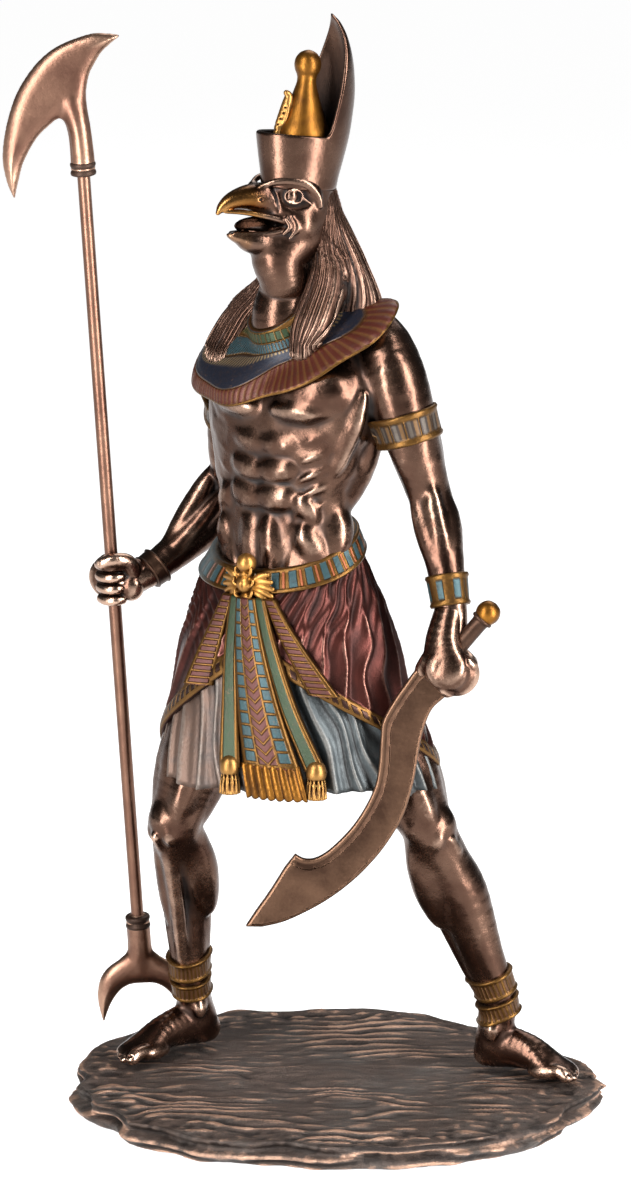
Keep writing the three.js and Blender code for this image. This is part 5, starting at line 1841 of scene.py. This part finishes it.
def jewellery(legs_made):
    armlet = enamelled("armlet", studs_pattern(13))
    bracelet = enamelled("bracelet", inlay_pattern(7))
    ring = enamelled("anklet", ring_pattern)
    for side, arm in ARMS.items():
        high, low = arm["upper"]
        band(side + "_armlet", BODY, mix(high, low, 1.02), mix(high, low, 0.5), 0.7, armlet, far=12)
    arm = ARMS["left"]
    band(
        "left_bracelet", BODY, mix(arm["fore"][1], arm["wrist"], 0.98),
        mix(arm["fore"][1], arm["wrist"], 0.3), 0.8, bracelet, far=9
    )
    arm = ARMS["right"]
    band(
        "right_bracelet", BODY, mix(arm["fore"][1], arm["wrist"], 0.96),
        mix(arm["fore"][1], arm["wrist"], 0.66), 0.7, DULL, far=9
    )
    for side, block in legs_made.items():
        leg = LEGS[side]
        ankle, knee = np.asarray(leg["ankle"], float), np.asarray(leg["knee"], float)
        for i, (low, high) in enumerate(((-0.06, 0.03), (0.055, 0.165))):
            band(
                f"{side}_anklet_{i + 1}", block, mix(ankle, knee, low), mix(ankle, knee, high), 0.9, ring,
                rows=14, far=9, rims=0.4
            )


# The collar lies on a plane that falls this much to the front and rises this much to the left
COLLAR_FALL = 0.697
COLLAR_RISE = 0.215


def collar():
    """Rows of beads round the neck, one above another on parallel planes."""
    rows, columns = 36, 420
    front, left, _ = CHEST
    normal = unit(front * COLLAR_FALL - left * COLLAR_RISE + UP)
    ahead = square_to(front, normal)
    aside = np.cross(ahead, normal) * (1 if np.dot(np.cross(ahead, normal), left) > 0 else -1)
    heart = on_trunk(0, 0, 205.6)
    n = np.linspace(11.6, -0.3, rows)
    a = np.linspace(0, 2 * math.pi, columns, endpoint=False)
    direction = (np.cos(a)[:, None] * ahead + np.sin(a)[:, None] * aside)[None] * np.ones((rows, 1, 1))
    origin = (heart + np.outer(n, normal))[:, None, :] * np.ones((1, columns, 1))
    reach = reached(NECKED, origin, direction, 38)
    skin = reached(BODY, origin, direction, 38)
    reach = np.where((skin < reach + 8) & (n[:, None] < 9), np.maximum(skin, reach), reach)
    # The beads lie over the highest skin near them, so that none of it comes through
    reach = np.max([np.roll(reach, step, 1) for step in range(-18, 19)], axis=0)
    reach = np.max([reach[np.clip(np.arange(rows) + step, 0, rows - 1)] for step in range(-2, 3)], axis=0)
    for step in (9, 6, 4, 2, 1):
        reach = evened(reach, step)
    outer = origin + direction * (reach + 1.0)[..., None]
    # Rows are narrower where the surface lies flat
    width = np.linalg.norm(np.diff(outer, axis=0), axis=2)[n[1:] < 5].sum(0)
    for _ in range(3):
        width = sum(np.roll(width, step) for step in range(-30, 31)) / 61
    grid = (n[:, None] - n[-1]) * np.clip(width / width[0], 1, 2.2) + n[-1]
    along = np.cumsum(
        np.linalg.norm(np.diff(outer[rows // 2], axis=0, append=outer[rows // 2][:1]), axis=1)
    )
    along = along[None, :] * np.ones((rows, 1))
    rib = np.abs(((along / 1.2) % 1.0) - 0.5) * 2
    barred = (grid > 0.5) & (grid < 3.4)
    lift = 1.3 + barred * (0.35 - 0.4 * rib) + 0.4 * (np.abs(grid - 0.1) < 0.35) - 0.35 * (grid > 3.6)
    outer = origin + direction * (reach + lift)[..., None]
    inner = origin + direction * (reach - 1.6)[..., None]
    made = closed_ring("collar", outer[:, ::-1], inner[:, ::-1])
    flip = lambda g: g[:, ::-1]
    number(made, "up", twice(flip(grid), flip(grid) - 40))
    number(made, "along", twice(flip(along), flip(along)))
    number(made, "hollow", twice(flip((rib - 0.5) * 0.9 * barred), 0 * grid + 0.8))
    return piece(made, enamelled("collar", collar_pattern))


def collar_pattern(look):
    up, along = look.number("up"), look.number("along")
    bars = (along / 1.2).part().within(0.2, 0.86, 0.1)
    beads = (along / 1.1).part().within(0.1, 0.9, 0.08)
    leaves = (along / 2.2).part().within(0.08, 0.92, 0.1)
    dots = (along / 1.1).part().within(0.25, 0.75, 0.1)
    return [
        (up.within(0.5, 3.4, 0.12), rgb("5a3617")),
        (up.within(0.5, 3.4, 0.12) * bars, rgb("45180c")),
        (up.within(3.5, 6.0, 0.12), rgb("171a26")),
        (up.within(5.3, 5.9, 0.1) * dots, rgb("6e5c40")),
        (up.within(6.2, 8.4, 0.12) * beads, rgb("233f46")),
        (up.within(8.8, 11.2, 0.15) * leaves, ENAMEL["green"]),
    ]


def clasp():
    """The belt's sun and winged scarab."""
    mid = belt_height(0)
    heart = on_kilt(mid, 0, 2.0)
    way = HIPS
    block = Sculpt(heart - [14, 12, 9], heart + [14, 12, 12], 0.24)
    spot = lambda side, up, ahead=0.0: heart + way[1] * side + UP * up + way[0] * ahead
    block.add(ball(spot(0, 6.2, 0.2), 2.7), 0.2)
    block.add(egg(spot(0, 3.4, 0.6), spot(0, -2.0, 0.8), 2.6, 2.0, way[1]), 0.3)
    block.add(egg(spot(0, 4.4, 0.6), spot(0, 2.2, 0.8), 1.7, 1.5, way[1]), 0.3)
    block.cut(strand([spot(0, 1.6, 2.8), spot(0, -2, 2.4)], 0.25), 0.2)
    block.cut(strand([spot(-2, 1.8, 2.2), spot(0, 1.5, 2.9), spot(2, 1.8, 2.2)], 0.25), 0.2)
    block.add(egg(spot(0, -1.6, 0.4), spot(0, -7.0, 0.2), 2.0, 1.3, way[1]), 0.4)
    for s in (1, -1):
        for i in range(5):
            foot = spot(s * 1.6, 0.8 - i * 0.5, 0.2)
            tip = spot(s * (6.6 + 1.2 * math.sin(i * 0.8)), 3.6 - i * 2.0, -0.4 - 0.2 * i)
            block.add(
                strand([foot, mix(foot, tip, 0.5) + UP * 0.6 + way[0] * 0.3, tip], [0.9, 1.0, 0.7]), 0.25
            )
        for up, out in ((3.6, 2.4), (0.5, 3.0), (-2.6, 2.6)):
            curl = spots(
                spot, (s * 1.6, up - 0.6, 1.6), (s * out, up + 0.2, 1.9), (s * out * 1.05, up + 1.4, 1.6)
            )
            block.add(strand(curl, 0.42), 0.2)
    return sculpted("belt_clasp", block, 12000, GOLD)


# Staff
STAFF_LENGTH = 217


def outline_distance(discs):
    """How far points of a plane lie from a run of discs (x, z, radius), negative inside."""
    dense = spline(discs, 8 * len(discs))

    def distance(x, z):
        best = None
        for (x0, z0, r0), (x1, z1, r1) in zip(dense, dense[1:]):
            dx, dz = x1 - x0, z1 - z0
            t = np.clip(((x - x0) * dx + (z - z0) * dz) / (dx * dx + dz * dz + 1e-9), 0, 1)
            d = np.hypot(x - x0 - t * dx, z - z0 - t * dz) - (r0 + (r1 - r0) * t)
            best = d if best is None else np.minimum(best, d)
        return best

    return distance


def swollen(distance, thick, reach, low, high, step=0.3):
    """A block as thick as `thick` where its outline is `reach` or more away, and thin at its edge."""
    block = Sculpt((low[0], -thick, low[1]), (high[0], thick, high[1]), step)
    x, y, z = block.everywhere()
    flat = distance(x[:, 0], z[:, 0] if z.shape[1] == 1 else z).astype(np.float32)
    inward = np.clip(-flat / reach, -1, 1)
    half = thick / 2 * np.sqrt(np.clip(1 - (1 - np.clip(inward, 0, 1)) ** 2, 0, 1))
    slope = np.sqrt(1 + (thick / reach) ** 2 * 0.5)
    lens = (np.abs(y) - half[:, None, :]) / slope
    block.f = np.maximum(lens, flat[:, None, :] * 0.8).astype(np.float32)
    block.f = np.clip(block.f, -8, 8)
    return block


CRESCENT = [
    (11.9, 35.4, 0.3), (8.4, 34.6, 1.7), (4, 32.8, 3.4), (-3.4, 26.9, 6.3), (-9.6, 19.8, 6.6),
    (-14.9, 12.6, 4.7), (-18.3, 4.6, 3.1), (-19.2, -1.9, 1.7), (-19.1, -6.7, 0.3)
]
CRESCENT_NECK = [(0, 0.4, 2.8), (0, 4, 2.7), (-0.3, 10, 2.7), (-1.6, 17, 3.8), (-3, 23, 5.2)]


def blades():
    crescent, neck = outline_distance(CRESCENT), outline_distance(CRESCENT_NECK)
    both = lambda x, z: smin(crescent(x, z), neck(x, z), 3.0)
    block = swollen(both, 5.0, 4.4, (-24, -9), (14, 38))
    block.add(tube([(0, 0, 0.4, 2.9), (0, 0, 5, 2.75), (-0.4, 0, 12, 2.6), (-1.6, 0, 18, 2.2)]), 1.6)
    made = sculpted("staff_blade", block, 14000, COPPER, node="staff_blade")
    stand(made, STAFF_LENGTH)
    horn = [
        (11.7, -29.4, 0.3), (11.3, -25.5, 1.4), (10.4, -21.6, 2.5), (8.2, -17.6, 3.5), (4.6, -15.2, 3.9),
        (0, -14.4, 3.8)
    ]
    horns = outline_distance(horn + [(-x, z, r) for x, z, r in horn[-2::-1]])
    neck = outline_distance([(0, -0.4, 3.0), (0, -4, 3.0), (0, -9, 3.4), (0, -13, 5.0)])
    both = lambda x, z: smin(horns(x, z), neck(x, z), 2.6)
    block = swollen(both, 4.4, 3.6, (-16, -32), (16, 5))
    block.add(tube([(0, 0, -0.4, 2.9), (0, 0, -5, 2.8), (0, 0, -9, 2.6), (0, 0, -14, 1.8)]), 1.4)
    made = sculpted("staff_fork", block, 10000, COPPER, node="staff_fork")
    stand(made, 0)


def stand(made, up):
    """Moves a piece from the staff's own coordinates to its place."""
    p = places(made)
    back = np.cross(STAFF_AXIS, STAFF_SIDE)
    moved(made, STAFF_FOOT + p[:, :1] * STAFF_SIDE + p[:, 1:2] * back + (p[:, 2:] + up) * STAFF_AXIS)


def staff():
    blades()
    way = (-np.cross(STAFF_AXIS, STAFF_SIDE), STAFF_SIDE, STAFF_AXIS)
    rod = lathe(
        "staff_rod", STAFF_FOOT, way, [(-3.8, ROD - 0.05), (70, ROD), (140, ROD), (220.8, ROD - 0.05)], 48,
        20
    )
    piece(with_hollow(rod, 0.0), COPPER, "staff_rod")
    half = [(0.2, 3.05), (0.5, 3.3), (1.1, 3.5), (1.7, 3.3), (1.9, 2.6)]
    profile = [(-at, radius) for at, radius in half[::-1]] + half
    for place, node in ((STAFF_LENGTH, "staff_blade"), (0, "staff_fork")):
        made = lathe(node + "_ring", STAFF_FOOT + STAFF_AXIS * place, way, profile, 48, 3)
        piece(with_hollow(made, 0.35), DULL, node)


# Sword
EDGE = [
    (-1.0, -1.5), (-8.4, -3.1), (-14.3, -10.3), (-19.2, -18.6), (-20.0, -24), (-20.4, -31), (-21.4, -37),
    (-23.9, -42.9), (-27.9, -49.1), (-33.4, -54.8), (-37.4, -57.3), (-40.6, -57.5), (-43.0, -56.2)
]
POINT = [(-46.0, -60.2), (-50.0, -66.8), (-53.6, -72), (-56.4, -76.4)]
BACK = [
    (-52.0, -76.5), (-45.2, -74.7), (-35.7, -69.8), (-27.9, -64.0), (-21.4, -57.3), (-16.9, -51),
    (-13.6, -44.8), (-11.0, -35.6), (-9.4, -25.6), (-8.1, -20.3), (-6.0, -15.6), (-1.6, -11.4), (3.0, -5.0)
]


def polygon_distance(points):
    p = np.asarray(points, float)

    def distance(x, z):
        x, z = np.broadcast_arrays(x, z)
        best = np.full(x.shape, 1e9)
        inside = np.zeros(x.shape, bool)
        for a, b in zip(p, np.roll(p, -1, 0)):
            dx, dz = b - a
            t = np.clip(((x - a[0]) * dx + (z - a[1]) * dz) / (dx * dx + dz * dz), 0, 1)
            best = np.minimum(best, np.hypot(x - a[0] - t * dx, z - a[1] - t * dz))
            if dz:
                inside ^= ((a[1] > z) != (b[1] > z)) & (x < dx * (z - a[1]) / dz + a[0])
        return np.where(inside, -best, best)

    return distance


def sword():
    edge, back = spline(EDGE, 60), spline(BACK, 60)
    whole = polygon_distance(np.concatenate([edge, spline(POINT, 8), back]))
    block = Sculpt((-60, -3, -80), (10, 3, 2), 0.3)
    x, y, z = block.everywhere()
    flat = whole(x[:, 0, :], z[:, 0, :]).astype(np.float32)
    from_edge = np.full(flat.shape, 1e9)
    for a, b in zip(edge, edge[1:]):
        d = b - a
        t = np.clip(((x[:, 0] - a[0]) * d[0] + (z[:, 0] - a[1]) * d[1]) / (d @ d), 0, 1)
        from_edge = np.minimum(from_edge, np.hypot(x[:, 0] - a[0] - t * d[0], z[:, 0] - a[1] - t * d[1]))
    half = 1.5 - 0.45 * np.clip(1.2 - (from_edge - 1.2) * 0.8, 0, 1) * (
        1 - np.clip((1.2 - from_edge) / 0.5, 0, 1) * 0.3
    )
    half = half - 0.5 * np.clip(1 + flat / 0.9, 0, 1) ** 2
    block.f = np.maximum(np.abs(y) - half[:, None, :], flat[:, None, :]).astype(np.float32)
    made = sculpted("sword_blade", block, 16000, DULL, node="sword")
    moved(made, places(made) + GRIP)
    way = (unit(np.cross([0, 1, 0], GRIP_AXIS)), np.array([0, 1.0, 0]), -GRIP_AXIS)
    handle = [
        (-10.4, 1.9), (-9.6, 2.3), (6, 2.25), (10.2, 2.35), (10.6, 2.9), (11.2, 3.0), (11.6, 2.5),
        (11.9, 1.0)
    ]
    piece(with_hollow(lathe("sword_handle", GRIP, way, handle, 48, 4), 0.15), DULL, "sword")
    pommel = [(10.4, 0.6), (10.8, 2.0), (11.8, 2.9), (13.4, 3.3), (15.0, 2.9), (16.2, 1.9), (16.7, 0.3)]
    piece(with_hollow(lathe("sword_pommel", GRIP, way, pommel, 48, 4), -0.1), GOLD, "sword")


# Rock: half its length and breadth and its height, then the waves of its rim as (count, share, start)
ROCK_LONG = 72
ROCK_BROAD = 66.5
ROCK_HIGH = 8
LOBES = [
    (1, 0.018, 4.7), (2, 0.035, 0.6), (3, 0.014, 0.4), (5, 0.012, 2.1), (9, 0.01, 0.9), (14, 0.008, 4.2),
    (23, 0.006, 1.7)
]


def lobed(angle):
    return 1 + sum(share * np.sin(waves * angle + start) for waves, share, start in LOBES)


def rock():
    around = 400
    profile = spline(
        [
            (0, 1), (0.4, 1), (0.8, 0.99), (0.93, 0.9), (0.985, 0.72), (0.97, 0.5), (1, 0.36),
            (0.985, 0.14), (0.96, 0)
        ],
        400
    )
    length = np.concatenate([[0], np.cumsum(np.hypot(*(np.diff(profile, axis=0) * [70, 8]).T))])
    at = np.linspace(length[3], length[-1], 110)
    radius, height = (np.interp(at, length, profile[:, i])[:, None] for i in (0, 1))
    a = np.linspace(0, 2 * math.pi, around, endpoint=False)[None, :]
    reach = lobed(a)
    x = np.cos(a) * ROCK_LONG * radius * reach
    y = -np.sin(a) * ROCK_BROAD * radius * reach
    top = np.clip((height - 0.8) / 0.15, 0, 1)
    side = 1 - top
    # Slate-like layers on top, drawn out along X
    wave = noise(x * 0.55, y, 0 * x, 21, 12) * 9
    ridges = crease((y * 0.155 + wave * 0.32 + noise(x * 0.5, y, 0 * x, 22, 5) * 0.55), 1.0)
    fine = noise(x * 0.3, y, 0 * x, 23, 1.7)
    lumps = noise(x, y, 0 * x, 24, 14)
    dip = 1.3 * (1 - ridges) * lumps + 0.6 * (1 - fine) + 1.2 * (1 - lumps)
    z = height * ROCK_HIGH - dip * top * np.clip(radius * 5, 0.2, 1)
    # Ledges and knobs round the rim
    s = a * 69
    ledge = 0.5 - 0.5 * np.cos(2 * math.pi * (height * 1.9 + noise(s, height * 30, 0 * s, 25, 14) * 1.2))
    knob = noise(s, height * 14, 0 * s, 26, 9)
    crumble = noise(s, height * 9, 0 * s, 27, 1.6)
    push = side * ((ledge - 0.7) * 1.5 + (knob - 0.55) * 3.2 + (crumble - 0.5) * 0.6)
    edge = np.clip((radius - 0.72) / 0.2, 0, 1) * top
    z = z + edge * (noise(x, y, 0 * x, 28, 7) - 0.7) * 2.4 + edge * (noise(x, y, 0 * x, 29, 2) - 0.5) * 0.9
    z = np.where(height <= 1e-6, 0, np.maximum(z, 0.02))
    x = x + np.cos(a) * push
    y = y - np.sin(a) * push
    rings = np.stack([x, y, np.minimum(z, 8.1) + 0 * x], -1)
    flat = rings.copy()[-1:]
    body = np.concatenate([rings, flat * [0.97, 0.97, 0]])[:, ::-1]
    made = closed_loft("rock", body[::-1] - [0, 0, STAND])
    height_map = rings[..., 2]
    blur = height_map.copy()
    for _ in range(5):
        blur = evened(blur)
    deep = (blur - height_map) * 2.6
    press = push.copy()
    for _ in range(4):
        press = evened(press)
    deep = deep * top + side * (press - push) * 1.6
    hollow = np.concatenate([deep, np.full((1, around), 0.5)])[:, ::-1][::-1]
    number(made, "hollow", np.clip(np.concatenate([hollow.ravel(), [0.5, 0.0]]), -1, 1))
    return piece(made, STONE, "rock_base")


def stone():
    look = Look("dark bronzed rock")
    hollow = look.number("hollow")
    grain = look.noise(0.7, 4)
    layers = look.noise(1.8, 4, (4, 1, 1))
    blotch = look.noise(14, 4)
    base = look.blend(layers.ramp(0.3, 0.7), rgb("3a302b"), rgb("5b4c44"))
    base = look.blend(blotch.ramp(0.45, 0.75) * 0.6, base, rgb("54524f"))
    bare = (0 - hollow + (grain - 0.5) * 0.6 + (blotch - 0.5) * 0.9).ramp(0.22, 0.75)
    base = look.blend(bare * 0.9, base, rgb("c7a18a"))
    deep = (hollow + (grain - 0.5) * 0.5 + (layers - 0.5) * 0.6).ramp(0.05, 0.55)
    base = look.blend(deep * 0.85, base, rgb("1c1512"))
    look.set(Base_Color=base, Metallic=0.55 + bare * 0.4, Roughness=0.5 + grain * 0.15 - bare * 0.15)
    look.bump(layers * 1.4 + grain * 0.8 + look.noise(0.35, 2) * 0.4, 0.45)
    return look.material


STONE = stone()

# The whole figure
studio()
BODY = body()
NECKED = Sculpt((-64, -34, 176), (40, 44, 236), 0.5)
add_trunk(NECKED)
NECKED.add(tube(NECK, 5, FACE[1]), 3.0)
for arm in ARMS.values():
    NECKED.add(egg(arm["cap"], mix(*arm["upper"], 0.8), 9.6, 9.6, ARM_INNER), 2.6)
sculpted("trunk_and_arms", BODY, 105000, BRONZE)
LEG_BLOCKS = legs()
for side, block in LEG_BLOCKS.items():
    sculpted(side + "_leg", block, 42000, BRONZE)
for side, block in zip(("right", "left"), hands()):
    sculpted(side + "_hand", block, 18000, BRONZE)
sculpted("head", head(), 60000, GILDED, paint_head)
WIG, paint_wig = hair()
sculpted("hair", WIG, 105000, HAIR, paint_wig)
crown()
under_skirt()
wrap()
belt()
apron()
clasp()
jewellery(LEG_BLOCKS)
collar()
staff()
sword()
rock()
